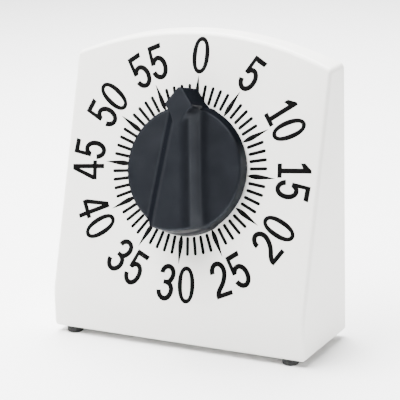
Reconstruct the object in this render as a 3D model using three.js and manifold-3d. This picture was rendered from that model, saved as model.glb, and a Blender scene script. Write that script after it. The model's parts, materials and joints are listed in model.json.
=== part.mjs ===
// Large-dial wind-up kitchen timer, as an assembly of its separate pieces.
// Units are millimetres. +X is to the right of a person facing the dial, +Y is to the back and +Z is up.
// The origin is the middle of the underside of the whole object's box, at the level of the feet.
import * as THREE from 'three';
import { mergeVertices } from 'three/addons/utils/BufferGeometryUtils.js';
import Module from 'manifold-3d';

const wasm = await Module();
wasm.setup();

const DEGREE = Math.PI / 180;

// ---------------------------------------------------------------- driving dimensions

// Case
const CASE_WIDTH = 178;
const CASE_DEPTH = 65.4;
const FRONT_BAND_HEIGHT = 24.6;
const FACE_TILT = 16.9 * DEGREE;
const SIDE_HEIGHT = 173.1;
const ARCH_RISE = 17.3;
const CASE_WALL = 3;
const FRONT_BLEND_RADIUS = 34;
const CASE_EDGE_RADIUS = 2.5;
const DIAL_UP_SLOPE = 86.4;

// Feet
const FOOT_HEIGHT = 4;
const FOOT_RADIUS = 5.25;
const FOOT_NECK_RADIUS = 2.2;
const FOOT_BARB_RADIUS = 3.1;
const FOOT_BARB_HEIGHT = 2.2;
const FOOT_BARB_TIP_SHARE = 0.7;
const FOOT_EDGE_RADIUS = 1.2;
const FOOT_SIDE_INSET = 12;
const FOOT_BEHIND_WALL = 3.5;

// Rear cover and its screws
const COVER_THICKNESS = 3;
const COVER_POST_RADIUS = 4.2;
const COVER_POST_LOW = 12;
const COVER_POST_BELOW_CORNER = 20;
const COVER_HOLE_SPARE = 2;
const SOUND_SLOT_COUNT = 7;
const SOUND_SLOT_LENGTH = 44;
const SOUND_SLOT_WIDTH = 3;
const SOUND_SLOT_PITCH = 7;
const SOUND_SLOT_BOTTOM = 62;

// Screws: radius and height of the head, then radius and length of the shank
const COVER_SCREW = { head: 2.9, headHeight: 1.7, shank: 1.3, length: 13 };
const PLATE_SCREW = { head: 2.4, headHeight: 1.4, shank: 1.1, length: 5.4 };
const BELL_SCREW = { head: 3, headHeight: 1.5, shank: 1.2, length: 6 };
const SCREW_SLOT_WIDTH = 0.8;
const SCREW_SLOT_DEPTH = 0.7;
const SCREW_POINT_LENGTH = 1.2;
const SCREW_POINT_SHARE = 0.4;
const SCREW_RIM_SHARE = 0.55;
const SCREW_CROWN_SHARE = 0.72;

// Knob, with heights measured out from the face of the case and reaches from the middle of the dial
const KNOB_RADIUS = 41;
const KNOB_DRAFT = 1.5;
const KNOB_GAP = 1;
const SKIRT_HEIGHT = 8;
const SKIRT_EDGE = 0.8;
const BAR_HEIGHT = 22.5;
const BAR_LEAN = 6.8;
const BAR_TAIL_HALF_WIDTH = 20.5;
const BAR_NECK_HALF_WIDTH = 11.2;
const BAR_NECK_REACH = 36;
const NOSE_REACH = 50.4;
const NOSE_HALF_WIDTH = 10.2;
const NOSE_SHOULDER_REACH = 39.6;
const NOSE_NECK_SHARE = 0.72;
const NOSE_TIP_HALF_WIDTH = 0.8;
const NOSE_DRAFT = 0.5;
const KNOB_SKIN = 2.5;
const KNOB_HUB_RADIUS = 6;
const KNOB_REST_ANGLE = 1 * DEGREE;
const ARBOR_REACH = 13;
const CLIP_THICKNESS = 0.8;
const CLIP_HEIGHT = 2.4;
const CLIP_RISE = 0.6;
const CLIP_OPENING = 80 * DEGREE;

// Clockwork plates, with depths measured in from the face of the case
const BOSS_LENGTH = 4.5;
const BOSS_RADIUS = 3.6;
const BOSS_HOLE_FLOOR = 0.5;
const TOP_BOSS_SHIFT = -4;
const SIDE_BOSS_INSET = 4.5;
const LEFT_BOSS_DROP = 15;
const RIGHT_BOSS_DROP = 13;
const PLATE_THICKNESS = 1.2;
const PLATE_SPACING = 14.5;
const PLATE_WIDTH = 64;
const PLATE_HEIGHT = 60;
const PLATE_CENTRE = [-4, -7];
const PLATE_CORNER_RADIUS = 5;
const PILLAR_RADIUS = 2.2;
const PILLAR_INSET = 5;

// Arbors
const MAIN_ARBOR_RADIUS = 2.5;
const MAIN_PIVOT_RADIUS = 1.5;
const TRAIN_ARBOR_RADIUS = 1.1;
const PIVOT_RADIUS = 0.75;
const BUSH_RADIUS = 5;
const BUSH_FLANGE_RADIUS = 7.5;
const BUSH_FLANGE_THICKNESS = 1.5;

// Gear train: teeth of the wheels and of the pinions that they drive, and the size of the teeth
const FIRST_MESH = { wheel: 72, pinion: 12, module: 0.5 };
const SECOND_MESH = { wheel: 60, pinion: 10, module: 0.45 };
const THIRD_MESH = { wheel: 40, pinion: 10, module: 0.5 };
const PRESSURE_ANGLE = 25 * DEGREE;
const ADDENDUM = 0.8;
const DEDENDUM = 1.15;
const TOOTH_THINNING = 0.1;
const WHEEL_THICKNESS = 1.2;
const WHEEL_RIM_WIDTH = 1.6;
const WHEEL_HUB_WIDTH = 2;
const SPOKE_COUNT = 4;
const SPOKE_WIDTH = 2.2;
const PINION_THICKNESS = 2.6;
const SECOND_DIRECTION = 200 * DEGREE;
const THIRD_DIRECTION = 285 * DEGREE;
const ESCAPE_DIRECTION = -5 * DEGREE;
const PALLET_DIRECTION = 0;

// Where each layer of the clockwork starts, behind the front plate
const SECOND_WHEEL_LAYER = 1.1;
const GREAT_WHEEL_LAYER = 3.4;
const MAINSPRING_LAYER = 6.6;
const THIRD_WHEEL_LAYER = 7;
const ESCAPE_WHEEL_LAYER = 10.2;
const PALLET_WEIGHT_LAYER = 12;
const CAM_LAYER = 12.5;

// Mainspring and clutch
const MAINSPRING_TURNS = 6;
const MAINSPRING_OUTER_RADIUS = 13.5;
const MAINSPRING_WIDTH = 5.5;
const MAINSPRING_STRIP = 0.45;
const MAINSPRING_STEPS_PER_TURN = 14;
const CLUTCH_RADIUS = 7;
const CLUTCH_CUP = 0.6;
const CLUTCH_STRIP = 0.3;

// Escapement
const ESCAPE_TEETH = 20;
const ESCAPE_RADIUS = 6.5;
const ESCAPE_TOOTH_DEPTH = 1.6;
const ESCAPE_TIP_START = 0.62;
const ESCAPE_TIP_END = 0.75;
const PALLET_DISTANCE = 10;
const PALLET_CLEARANCE = 0.5;
const PALLET_SPREAD = 36 * DEGREE;
const PALLET_HALF_ANGLE = 11 * DEGREE;
const PALLET_LENGTH = 2.4;
const PALLET_ARM_OVERLAP = 0.4;
const PALLET_ARM_WIDTH = 2;
const PALLET_THICKNESS = 1;
const PALLET_WEIGHT_LENGTH = 15;
const PALLET_WEIGHT_WIDTH = 1.8;
const PALLET_WEIGHT_END_RADIUS = 2;
const LEVER_HUB_RADIUS = 2.3;

// Trip cam and lever
const CAM_RADIUS = 9;
const CAM_THICKNESS = 1.5;
const CAM_NOTCH_DEPTH = 3.2;
const CAM_NOTCH_HALF_ANGLE = 17 * DEGREE;
const TRIP_NOSE_ANGLE = 75 * DEGREE;
const TRIP_NOSE_CLEARANCE = 0.5;
const TRIP_NOSE_HALF_WIDTH = 0.9;
const TRIP_NOSE_LENGTH = 2.4;
const TRIP_PIVOT = [20.5, 8];
const TRIP_TAIL = [25.6, 0.2];
const TRIP_ARM_WIDTH = 2.8;
const TRIP_HUB_RADIUS = 2.5;

// Bell and hammer
const BELL_CENTRE = [-4, -20];
const BELL_RADIUS = 21;
const BELL_DEPTH = 9;
const BELL_WALL = 1;
const BELL_LIP_HEIGHT = 3;
const BELL_STANDOFF = 4;
const BELL_POST_RADIUS = 3;
const HAMMER_PIVOT = [22, -8];
const HAMMER_FINGER_TIP = [23, -1.6];
const HAMMER_DROP = 16;
const HAMMER_ARM_LAYER = 2.2;
const FINGER_WIDTH = 2.4;
const HAMMER_STANDOFF = 1.3;
const HAMMER_HEAD_RADIUS = 2.8;
const HAMMER_HEAD_LENGTH = 4;
const HAMMER_HEAD_EDGE = 0.5;
const HAMMER_STEM_RADIUS = 0.8;
const HAMMER_ARM_WIDTH = 3;
const HAMMER_ARM_THICKNESS = 1;
const HAMMER_SPRING_WIRE = 0.35;
const HAMMER_SPRING_TURNS = 3;
const HAMMER_SPRING_PITCH = 1.4;
const HAMMER_SPRING_LEG = 5;
const HAMMER_SPRING_STEPS_PER_TURN = 10;

// Clearances
const COVER_GAP = 0.3;
const SEAT_GAP = 0.3;
const RUNNING_GAP = 0.15;
const SCREW_GAP = 0.35;

// How far a cut or an overlap reaches past a piece, and how far the blocks that shape the case do
const CUT_MARGIN = 1;
const BLOCK_MARGIN = 10;

// Numbers of flat sides on round pieces
const WIDE_SIDES = 48;
const BELL_SIDES = 28;
const ROUND_SIDES = 20;
const SMALL_SIDES = 12;
const PIN_SIDES = 10;
const HOLE_SIDES = 8;
const ARCH_STEPS = 24;

// ---------------------------------------------------------------- derived places

const HALF_WIDTH = CASE_WIDTH / 2;
const ARCH_RADIUS = (HALF_WIDTH ** 2 + ARCH_RISE ** 2) / (2 * ARCH_RISE);
const ARCH_CENTRE_HEIGHT = SIDE_HEIGHT + ARCH_RISE - ARCH_RADIUS;
const CASE_TOP = SIDE_HEIGHT + ARCH_RISE;
const BOSS_DEPTH = CASE_WALL + BOSS_LENGTH;
const FRONT_PLATE_DEPTH = BOSS_DEPTH + SEAT_GAP;
const LAYERS_DEPTH = FRONT_PLATE_DEPTH + PLATE_THICKNESS;
const BACK_PLATE_DEPTH = LAYERS_DEPTH + PLATE_SPACING;
const BACK_OF_PLATES = BACK_PLATE_DEPTH + PLATE_THICKNESS;
const COVER_FRONT = CASE_DEPTH - COVER_THICKNESS;
const COVER_SCREW_INSET = CASE_WALL + COVER_POST_RADIUS + SEAT_GAP;
const HUB_BORE_TOP = ARBOR_REACH + SEAT_GAP;
const MAIN_BORE = MAIN_ARBOR_RADIUS + RUNNING_GAP;
const TRAIN_BORE = TRAIN_ARBOR_RADIUS + RUNNING_GAP;
const SCREW_HOLE = PLATE_SCREW.shank + SCREW_GAP;
const BELL_SCREW_HOLE = BELL_SCREW.shank + SCREW_GAP;
const CAM_DEPTH = LAYERS_DEPTH + CAM_LAYER + CAM_THICKNESS;
const BELL_MOUTH = BACK_OF_PLATES + BELL_STANDOFF;
const HAMMER_ARM_DEPTH = BACK_OF_PLATES + HAMMER_ARM_LAYER;

// ---------------------------------------------------------------- materials

function material(color, roughness, metalness) {
  return new THREE.MeshStandardMaterial({ color, roughness, metalness });
}

const WHITE_PLASTIC = material(0xe6e6e4, 0.5, 0);
const DARK_PLASTIC = material(0x3a3f47, 0.4, 0);
const BLACK_RUBBER = material(0x161616, 0.85, 0);
const STEEL = material(0xa6a8ab, 0.35, 1);
const SPRING_STEEL = material(0x5d6470, 0.35, 1);
const BRASS = material(0xb5964c, 0.35, 1);
const BELL_STEEL = material(0xc9cacc, 0.22, 1);

// ---------------------------------------------------------------- geometry helpers

// Closed mesh with shared vertices and no triangle that has collapsed to a line.
function cleaned(geometry) {
  geometry.deleteAttribute('normal');
  geometry.deleteAttribute('uv');
  const merged = mergeVertices(geometry);
  const kept = [];
  for (let i = 0; i < merged.index.count; i += 3) {
    const corners = [0, 1, 2].map((k) => merged.index.getX(i + k));
    if (new Set(corners).size === 3) kept.push(...corners);
  }
  merged.setIndex(kept);
  return merged;
}

function toSolid(geometry) {
  const mesh = cleaned(geometry);
  return new wasm.Manifold(new wasm.Mesh({
    numProp: 3,
    vertProperties: new Float32Array(mesh.attributes.position.array),
    triVerts: new Uint32Array(mesh.index.array),
  }));
}

function fromSolid(solid) {
  const mesh = solid.getMesh();
  const geometry = new THREE.BufferGeometry();
  geometry.setAttribute('position', new THREE.BufferAttribute(mesh.vertProperties, 3));
  geometry.setIndex(new THREE.BufferAttribute(mesh.triVerts, 1));
  return geometry;
}

// First geometry, joined with the second list and then cut by the third.
function combine(base, joined = [], cuts = []) {
  let solid = toSolid(base);
  for (const part of joined) solid = solid.add(toSolid(part));
  for (const part of cuts) solid = solid.subtract(toSolid(part));
  return fromSolid(solid);
}

function common(first, second) {
  return fromSolid(toSolid(first).intersect(toSolid(second)));
}

function polar(radius, angle) {
  return [radius * Math.cos(angle), radius * Math.sin(angle)];
}

function arcPoints(centre, radius, start, end, steps) {
  const points = [];
  for (let i = 0; i <= steps; i += 1) {
    const [x, y] = polar(radius, start + ((end - start) * i) / steps);
    points.push([centre[0] + x, centre[1] + y]);
  }
  return points;
}

function circlePoints(centre, radius, steps) {
  return arcPoints(centre, radius, 0, 2 * Math.PI * (1 - 1 / steps), steps - 1);
}

// Outline through corners given as [x, y, radius], each rounded by its radius.
function roundedOutline(corners, stepsPerCorner = 4) {
  return corners.flatMap(([x, y, radius], i) => {
    if (!radius) return [[x, y]];
    const corner = new THREE.Vector2(x, y);
    const before = new THREE.Vector2(...corners.at(i - 1)).sub(corner).normalize();
    const after = new THREE.Vector2(...corners[(i + 1) % corners.length]).sub(corner).normalize();
    const half = Math.acos(THREE.MathUtils.clamp(before.dot(after), -1, 1)) / 2;
    const centre = before.clone().add(after).setLength(radius / Math.sin(half)).add(corner);
    const start = before.clone().multiplyScalar(radius / Math.tan(half)).add(corner).sub(centre).angle();
    const end = after.clone().multiplyScalar(radius / Math.tan(half)).add(corner).sub(centre).angle();
    const turn = Math.atan2(Math.sin(end - start), Math.cos(end - start));
    return arcPoints([centre.x, centre.y], radius, start, start + turn, stepsPerCorner);
  });
}

function roundedRectangle(centre, width, height, radius) {
  const [x, y] = centre;
  const corners = [[-1, -1], [1, -1], [1, 1], [-1, 1]];
  return roundedOutline(corners.map(([i, j]) => [x + (i * width) / 2, y + (j * height) / 2, radius]));
}

// Straight bar with round ends from one point to another.
function slotOutline(from, to, width, steps = 4) {
  const angle = Math.atan2(to[1] - from[1], to[0] - from[0]);
  const quarter = Math.PI / 2;
  return [
    ...arcPoints(from, width / 2, angle + quarter, angle + 3 * quarter, steps),
    ...arcPoints(to, width / 2, angle - quarter, angle + quarter, steps),
  ];
}

function vectors(points) {
  return points.map(([x, y]) => new THREE.Vector2(x, y));
}

// Outline in XY raised along +Z from 0 to the given thickness.
function prism(outline, thickness, holes = []) {
  const shape = new THREE.Shape(vectors(outline));
  shape.holes = holes.map((hole) => new THREE.Path(vectors(hole)));
  return cleaned(new THREE.ExtrudeGeometry(shape, { depth: thickness, bevelEnabled: false }));
}

// Solid between an outline at one height and another outline with as many points at a greater height.
function lofted(lowOutline, highOutline, low, high) {
  const count = lowOutline.length;
  const positions = [
    ...lowOutline.flatMap(([x, y]) => [x, y, low]),
    ...highOutline.flatMap(([x, y]) => [x, y, high]),
  ];
  const sides = lowOutline.flatMap((_, i) => {
    const next = (i + 1) % count;
    return [i, next, count + next, i, count + next, count + i];
  });
  const floor = THREE.ShapeUtils.triangulateShape(vectors(lowOutline), []);
  const roof = THREE.ShapeUtils.triangulateShape(vectors(highOutline), []);
  const geometry = new THREE.BufferGeometry();
  geometry.setAttribute('position', new THREE.Float32BufferAttribute(positions, 3));
  geometry.setIndex([
    ...sides,
    ...floor.flatMap(([a, b, c]) => [a, c, b]),
    ...roof.flatMap((corners) => corners.map((corner) => corner + count)),
  ]);
  return geometry;
}

// Profile of [radius, z] pairs turned round the Z axis.
function turned(profile, segments = ROUND_SIDES) {
  return cleaned(new THREE.LatheGeometry(vectors(profile), segments).rotateX(Math.PI / 2));
}

function rod(radius, low, high, segments = SMALL_SIDES) {
  return turned([[0, low], [radius, low], [radius, high], [0, high]], segments);
}

// Outline in the YZ plane raised along X, centred on the middle plane.
function sideways(outline, width) {
  const basis = new THREE.Matrix4().makeBasis(
    new THREE.Vector3(0, 1, 0), new THREE.Vector3(0, 0, 1), new THREE.Vector3(1, 0, 0));
  return prism(outline, width).translate(0, 0, -width / 2).applyMatrix4(basis);
}

// Outline in the XZ plane raised along Y from one depth to another.
function backwards(outline, front, back, holes = []) {
  return prism(outline, back - front, holes).rotateX(Math.PI / 2).translate(0, back, 0);
}

// ---------------------------------------------------------------- groups

const timer = new THREE.Group();
const caseGroup = new THREE.Group();
caseGroup.position.z = FOOT_HEIGHT;
timer.add(caseGroup);

// The face group's XY plane is the sloping face: +Y goes up the slope and +Z stands out of it.
const faceGroup = new THREE.Group();
faceGroup.position.set(
  0, DIAL_UP_SLOPE * Math.sin(FACE_TILT), FRONT_BAND_HEIGHT + DIAL_UP_SLOPE * Math.cos(FACE_TILT));
faceGroup.rotation.x = Math.PI / 2 - FACE_TILT;
caseGroup.add(faceGroup);
faceGroup.updateMatrix();

function place(group, name, geometry, look, position = [0, 0, 0], turn = 0) {
  const mesh = new THREE.Mesh(geometry, look);
  mesh.name = name;
  mesh.position.set(...position);
  mesh.rotation.z = turn;
  group.add(mesh);
  return mesh;
}

// Adds a piece of the clockwork whose own z = 0 lies at this depth behind the face, facing forward.
function placeInside(name, geometry, look, centre, depth, turn = 0) {
  return place(faceGroup, name, geometry, look, [centre[0], centre[1], -depth], turn);
}

// ---------------------------------------------------------------- case

// Section through the case from front to back, moved in by an inset on every side but the back.
function sideProfile(inset, back) {
  const kink = FRONT_BAND_HEIGHT - inset * Math.tan(FACE_TILT / 2);
  const top = CASE_TOP + BLOCK_MARGIN;
  return roundedOutline([
    [inset, inset, Math.max(CASE_EDGE_RADIUS - inset, 0.5)],
    [back, inset, 0],
    [back, top, 0],
    [inset + (top - kink) * Math.tan(FACE_TILT), top, 0],
    [inset, kink, FRONT_BLEND_RADIUS + inset],
  ]);
}

// Arched outline of the case seen from the front, moved in by an inset.
function frontOutline(inset) {
  const half = HALF_WIDTH - inset;
  const radius = ARCH_RADIUS - inset;
  const end = Math.acos(half / radius);
  const edge = Math.max(CASE_EDGE_RADIUS - inset, 0.5);
  const arch = arcPoints([0, ARCH_CENTRE_HEIGHT], radius, end, Math.PI - end, ARCH_STEPS);
  return roundedOutline([
    [-half, inset, edge],
    [half, inset, edge],
    ...arch.map(([x, y], i) => [x, y, i === 0 || i === ARCH_STEPS ? edge : 0]),
  ]);
}

function caseBlock(inset, back) {
  return common(
    sideways(sideProfile(inset, back), CASE_WIDTH * 1.5),
    backwards(frontOutline(inset), -CASE_DEPTH, 2 * CASE_DEPTH));
}

function coverScrewPlaces() {
  const x = HALF_WIDTH - COVER_SCREW_INSET;
  const high = SIDE_HEIGHT - COVER_POST_BELOW_CORNER;
  return [
    ['low_left', -x, COVER_POST_LOW], ['low_right', x, COVER_POST_LOW],
    ['high_left', -x, high], ['high_right', x, high],
  ];
}

function footPlaces() {
  const x = HALF_WIDTH - FOOT_SIDE_INSET;
  const front = CASE_WALL + FOOT_BEHIND_WALL;
  const rear = COVER_FRONT - FOOT_BEHIND_WALL;
  return [
    ['front_left', -x, front], ['front_right', x, front],
    ['rear_left', -x, rear], ['rear_right', x, rear],
  ];
}

function movementScrewPlaces() {
  const [x, y] = PLATE_CENTRE;
  return [
    [x + TOP_BOSS_SHIFT, y + PLATE_HEIGHT / 2 - PILLAR_INSET],
    [x - PLATE_WIDTH / 2 + SIDE_BOSS_INSET, y - LEFT_BOSS_DROP],
    [x + PLATE_WIDTH / 2 - SIDE_BOSS_INSET, y - RIGHT_BOSS_DROP],
  ];
}

function alongY(radius, x, z, front, back, segments = SMALL_SIDES) {
  return rod(radius, -back, -front, segments).rotateX(Math.PI / 2).translate(x, 0, z);
}

function onFace(geometry, centre) {
  return geometry.translate(centre[0], centre[1], 0).applyMatrix4(faceGroup.matrix);
}

function frontCase() {
  const outer = caseBlock(0, CASE_DEPTH);
  const shell = combine(outer, [], [caseBlock(CASE_WALL, CASE_DEPTH + BLOCK_MARGIN)]);
  const postBack = COVER_FRONT - COVER_GAP;
  const posts = coverScrewPlaces().map(([, x, z]) => (
    common(alongY(COVER_POST_RADIUS, x, z, 0, postBack), caseBlock(0, CASE_DEPTH))));
  const holeFront = postBack - COVER_SCREW.length - COVER_HOLE_SPARE;
  const postHoles = coverScrewPlaces().map(([, x, z]) => (
    alongY(COVER_SCREW.shank + SCREW_GAP, x, z, holeFront, CASE_DEPTH, HOLE_SIDES)));
  const bosses = movementScrewPlaces().map((centre) => (
    onFace(rod(BOSS_RADIUS, -BOSS_DEPTH, -CASE_WALL / 2), centre)));
  const bossHoles = movementScrewPlaces().map((centre) => (
    onFace(rod(SCREW_HOLE, -BOSS_DEPTH - CUT_MARGIN, -CASE_WALL - BOSS_HOLE_FLOOR, HOLE_SIDES), centre)));
  const bush = rod(BUSH_RADIUS + SEAT_GAP, -CASE_WALL - CUT_MARGIN, CUT_MARGIN, ROUND_SIDES);
  const footHoles = footPlaces().map(([, x, y]) => (
    rod(FOOT_NECK_RADIUS + SEAT_GAP, -CUT_MARGIN, CASE_WALL + CUT_MARGIN).translate(x, y, 0)));
  const holes = [...postHoles, ...bossHoles, onFace(bush, [0, 0]), ...footHoles];
  return combine(shell, [...posts, ...bosses], holes);
}

// Flat back that drops into the open back of the case, with a sunk hole for each screw.
function rearCover() {
  const slots = [];
  for (let i = 0; i < SOUND_SLOT_COUNT; i += 1) {
    const z = SOUND_SLOT_BOTTOM + i * SOUND_SLOT_PITCH;
    const half = (SOUND_SLOT_LENGTH - SOUND_SLOT_WIDTH) / 2;
    slots.push(slotOutline([BELL_CENTRE[0] - half, z], [BELL_CENTRE[0] + half, z], SOUND_SLOT_WIDTH));
  }
  const plate = backwards(frontOutline(CASE_WALL + COVER_GAP), COVER_FRONT, CASE_DEPTH, slots);
  const sink = COVER_SCREW.headHeight + SEAT_GAP;
  const back = CASE_DEPTH + CUT_MARGIN;
  const holes = coverScrewPlaces().flatMap(([, x, z]) => [
    alongY(COVER_SCREW.shank + SCREW_GAP, x, z, COVER_FRONT - CUT_MARGIN, back, HOLE_SIDES),
    alongY(COVER_SCREW.head + SEAT_GAP, x, z, CASE_DEPTH - sink, back),
  ]);
  return combine(plate, [], holes);
}

// Push-in foot: pad below the case, neck through its floor and a barb that holds it.
function foot() {
  const middle = [FOOT_RADIUS - FOOT_EDGE_RADIUS, FOOT_EDGE_RADIUS - FOOT_HEIGHT];
  const rounded = arcPoints(middle, FOOT_EDGE_RADIUS, -Math.PI / 2, 0, 3);
  const neckTop = CASE_WALL + SEAT_GAP;
  return turned([
    [0, -FOOT_HEIGHT],
    ...rounded,
    [FOOT_RADIUS, 0],
    [FOOT_NECK_RADIUS, 0],
    [FOOT_NECK_RADIUS, neckTop],
    [FOOT_BARB_RADIUS, neckTop],
    [FOOT_NECK_RADIUS * FOOT_BARB_TIP_SHARE, neckTop + FOOT_BARB_HEIGHT],
    [0, neckTop + FOOT_BARB_HEIGHT],
  ], 16);
}

// Slotted screw that points down, with the underside of its head at z = 0.
function screw({ head, headHeight, shank, length }) {
  const body = turned([
    [0, -length],
    [shank * SCREW_POINT_SHARE, -length],
    [shank, SCREW_POINT_LENGTH - length],
    [shank, 0],
    [head, 0],
    [head, headHeight * SCREW_RIM_SHARE],
    [head * SCREW_CROWN_SHARE, headHeight],
    [0, headHeight],
  ], PIN_SIDES);
  const slot = new THREE.BoxGeometry(head * 3, SCREW_SLOT_WIDTH, SCREW_SLOT_DEPTH * 2);
  return combine(body, [], [slot.translate(0, 0, headHeight)]);
}

function buildCase() {
  place(caseGroup, 'front_case', frontCase(), WHITE_PLASTIC);
  place(caseGroup, 'rear_cover', rearCover(), WHITE_PLASTIC);
  for (const [where, x, y] of footPlaces()) {
    place(caseGroup, `foot_${where}`, foot(), BLACK_RUBBER, [x, y, 0]);
  }
  const headSeat = CASE_DEPTH - COVER_SCREW.headHeight;
  for (const [where, x, z] of coverScrewPlaces()) {
    const geometry = screw(COVER_SCREW).rotateX(-Math.PI / 2);
    place(caseGroup, `cover_screw_${where}`, geometry, STEEL, [x, headSeat, z]);
  }
}

// ---------------------------------------------------------------- knob

// Outline that is the same on both sides of the middle line, from the points of its right side.
function mirrored(rightSide) {
  return [...rightSide, ...rightSide.map(([x, y]) => [-x, y]).reverse()];
}

// Pointed nose from the underside of the knob to its top, with a shoulder on each side of the bar.
function noseBlock() {
  const plan = (inset) => mirrored([
    [NOSE_NECK_SHARE * (NOSE_HALF_WIDTH - inset), BAR_NECK_REACH],
    [NOSE_HALF_WIDTH - inset, NOSE_SHOULDER_REACH],
    [NOSE_TIP_HALF_WIDTH, NOSE_REACH - inset],
  ]);
  return lofted(plan(0), plan(NOSE_DRAFT), KNOB_GAP, BAR_HEIGHT);
}

// Grip bar that narrows towards the nose, with leaning sides, moved in by an inset.
function gripBar(inset, low, high) {
  const plan = (height) => {
    const lean = (BAR_LEAN * (height - SKIRT_HEIGHT)) / (BAR_HEIGHT - SKIRT_HEIGHT);
    const halfWidth = (reach) => THREE.MathUtils.mapLinear(
      reach, -KNOB_RADIUS, BAR_NECK_REACH, BAR_TAIL_HALF_WIDTH, BAR_NECK_HALF_WIDTH) - lean - inset;
    const ends = [-KNOB_RADIUS - BLOCK_MARGIN, BAR_NECK_REACH + CUT_MARGIN - inset];
    return mirrored(ends.map((reach) => [halfWidth(reach), reach]));
  };
  const bar = lofted(plan(low), plan(high), low, high);
  const round = turned([
    [0, low - CUT_MARGIN],
    [KNOB_RADIUS - inset, low - CUT_MARGIN],
    [KNOB_RADIUS - KNOB_DRAFT - inset, high + CUT_MARGIN],
    [0, high + CUT_MARGIN],
  ], WIDE_SIDES);
  return common(bar, round);
}

function knob() {
  const top = KNOB_RADIUS - KNOB_DRAFT;
  const skirt = turned([
    [0, KNOB_GAP],
    [KNOB_RADIUS, KNOB_GAP],
    [top, SKIRT_HEIGHT - SKIRT_EDGE],
    [top - SKIRT_EDGE, SKIRT_HEIGHT],
    [0, SKIRT_HEIGHT],
  ], WIDE_SIDES);
  const ceiling = SKIRT_HEIGHT - KNOB_SKIN;
  const hollow = rod(top - KNOB_SKIN, KNOB_GAP - CUT_MARGIN, ceiling, WIDE_SIDES);
  const barHollow = gripBar(KNOB_SKIN, ceiling - CUT_MARGIN, BAR_HEIGHT - KNOB_SKIN);
  const bar = gripBar(0, SKIRT_HEIGHT - CUT_MARGIN, BAR_HEIGHT);
  const shell = combine(skirt, [noseBlock(), bar], [hollow, barHollow]);
  const hub = rod(KNOB_HUB_RADIUS, KNOB_GAP, BAR_HEIGHT - KNOB_SKIN / 2, ROUND_SIDES);
  const bore = rod(MAIN_BORE, KNOB_GAP - CUT_MARGIN, HUB_BORE_TOP, ROUND_SIDES);
  return combine(shell, [hub], [bore]);
}

function hubClip() {
  const inner = KNOB_HUB_RADIUS + RUNNING_GAP;
  const start = CLIP_OPENING / 2;
  const end = 2 * Math.PI - start;
  const outline = [
    ...arcPoints([0, 0], inner + CLIP_THICKNESS, start, end, 14),
    ...arcPoints([0, 0], inner, end, start, 14),
  ];
  return prism(outline, CLIP_HEIGHT);
}

function buildKnob() {
  place(faceGroup, 'knob', knob(), DARK_PLASTIC, [0, 0, 0], KNOB_REST_ANGLE);
  place(faceGroup, 'hub_clip', hubClip(), SPRING_STEEL, [0, 0, KNOB_GAP + CLIP_RISE], KNOB_REST_ANGLE);
}

// ---------------------------------------------------------------- places in the clockwork

function offset(from, distance, angle) {
  const [x, y] = polar(distance, angle);
  return [from[0] + x, from[1] + y];
}

function meshDistance({ wheel, pinion, module }) {
  return ((wheel + pinion) * module) / 2;
}

const secondCentre = polar(meshDistance(FIRST_MESH), SECOND_DIRECTION);
const thirdCentre = offset(secondCentre, meshDistance(SECOND_MESH), THIRD_DIRECTION);
const escapeCentre = offset(thirdCentre, meshDistance(THIRD_MESH), ESCAPE_DIRECTION);
const palletCentre = offset(escapeCentre, PALLET_DISTANCE, PALLET_DIRECTION);

function pillarPlaces() {
  const x = PLATE_WIDTH / 2 - PILLAR_INSET;
  const y = PLATE_HEIGHT / 2 - PILLAR_INSET;
  return [
    ['low_left', -x, -y], ['low_right', x, -y], ['high_left', -x, y], ['high_right', x, y],
  ].map(([where, i, j]) => [where, [PLATE_CENTRE[0] + i, PLATE_CENTRE[1] + j]]);
}

// ---------------------------------------------------------------- frame of the clockwork

function clockPlate(mainHole, hammerHole, screwCentres) {
  const pivots = [secondCentre, thirdCentre, escapeCentre, palletCentre, TRIP_PIVOT];
  const holes = [
    circlePoints([0, 0], mainHole, ROUND_SIDES),
    circlePoints(HAMMER_PIVOT, hammerHole, PIN_SIDES),
    ...pivots.map((centre) => circlePoints(centre, PIVOT_RADIUS + RUNNING_GAP, PIN_SIDES)),
    ...pillarPlaces().map(([, centre]) => circlePoints(centre, SCREW_HOLE, HOLE_SIDES)),
    ...screwCentres.map((centre) => circlePoints(centre, SCREW_HOLE, HOLE_SIDES)),
  ];
  const outline = roundedRectangle(PLATE_CENTRE, PLATE_WIDTH, PLATE_HEIGHT, PLATE_CORNER_RADIUS);
  return prism(outline, PLATE_THICKNESS, holes);
}

// Pillar between the plates: a spigot at its front end and a blind screw hole in its back end.
function pillar() {
  const length = PLATE_SPACING - 2 * SEAT_GAP;
  const hole = PLATE_SCREW.length - PLATE_THICKNESS;
  const spigotEnd = length + SEAT_GAP + PLATE_THICKNESS;
  return turned([
    [0, hole],
    [SCREW_HOLE, hole],
    [SCREW_HOLE, 0],
    [PILLAR_RADIUS, 0],
    [PILLAR_RADIUS, length],
    [PLATE_SCREW.shank, length],
    [PLATE_SCREW.shank, spigotEnd],
    [0, spigotEnd],
  ], PIN_SIDES);
}

function shaftBushing() {
  const shoulder = -CASE_WALL - SEAT_GAP;
  const end = shoulder - BUSH_FLANGE_THICKNESS;
  return turned([
    [MAIN_BORE, end],
    [BUSH_FLANGE_RADIUS, end],
    [BUSH_FLANGE_RADIUS, shoulder],
    [BUSH_RADIUS, shoulder],
    [BUSH_RADIUS, SEAT_GAP],
    [MAIN_BORE, SEAT_GAP],
    [MAIN_BORE, end],
  ]);
}

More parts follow.
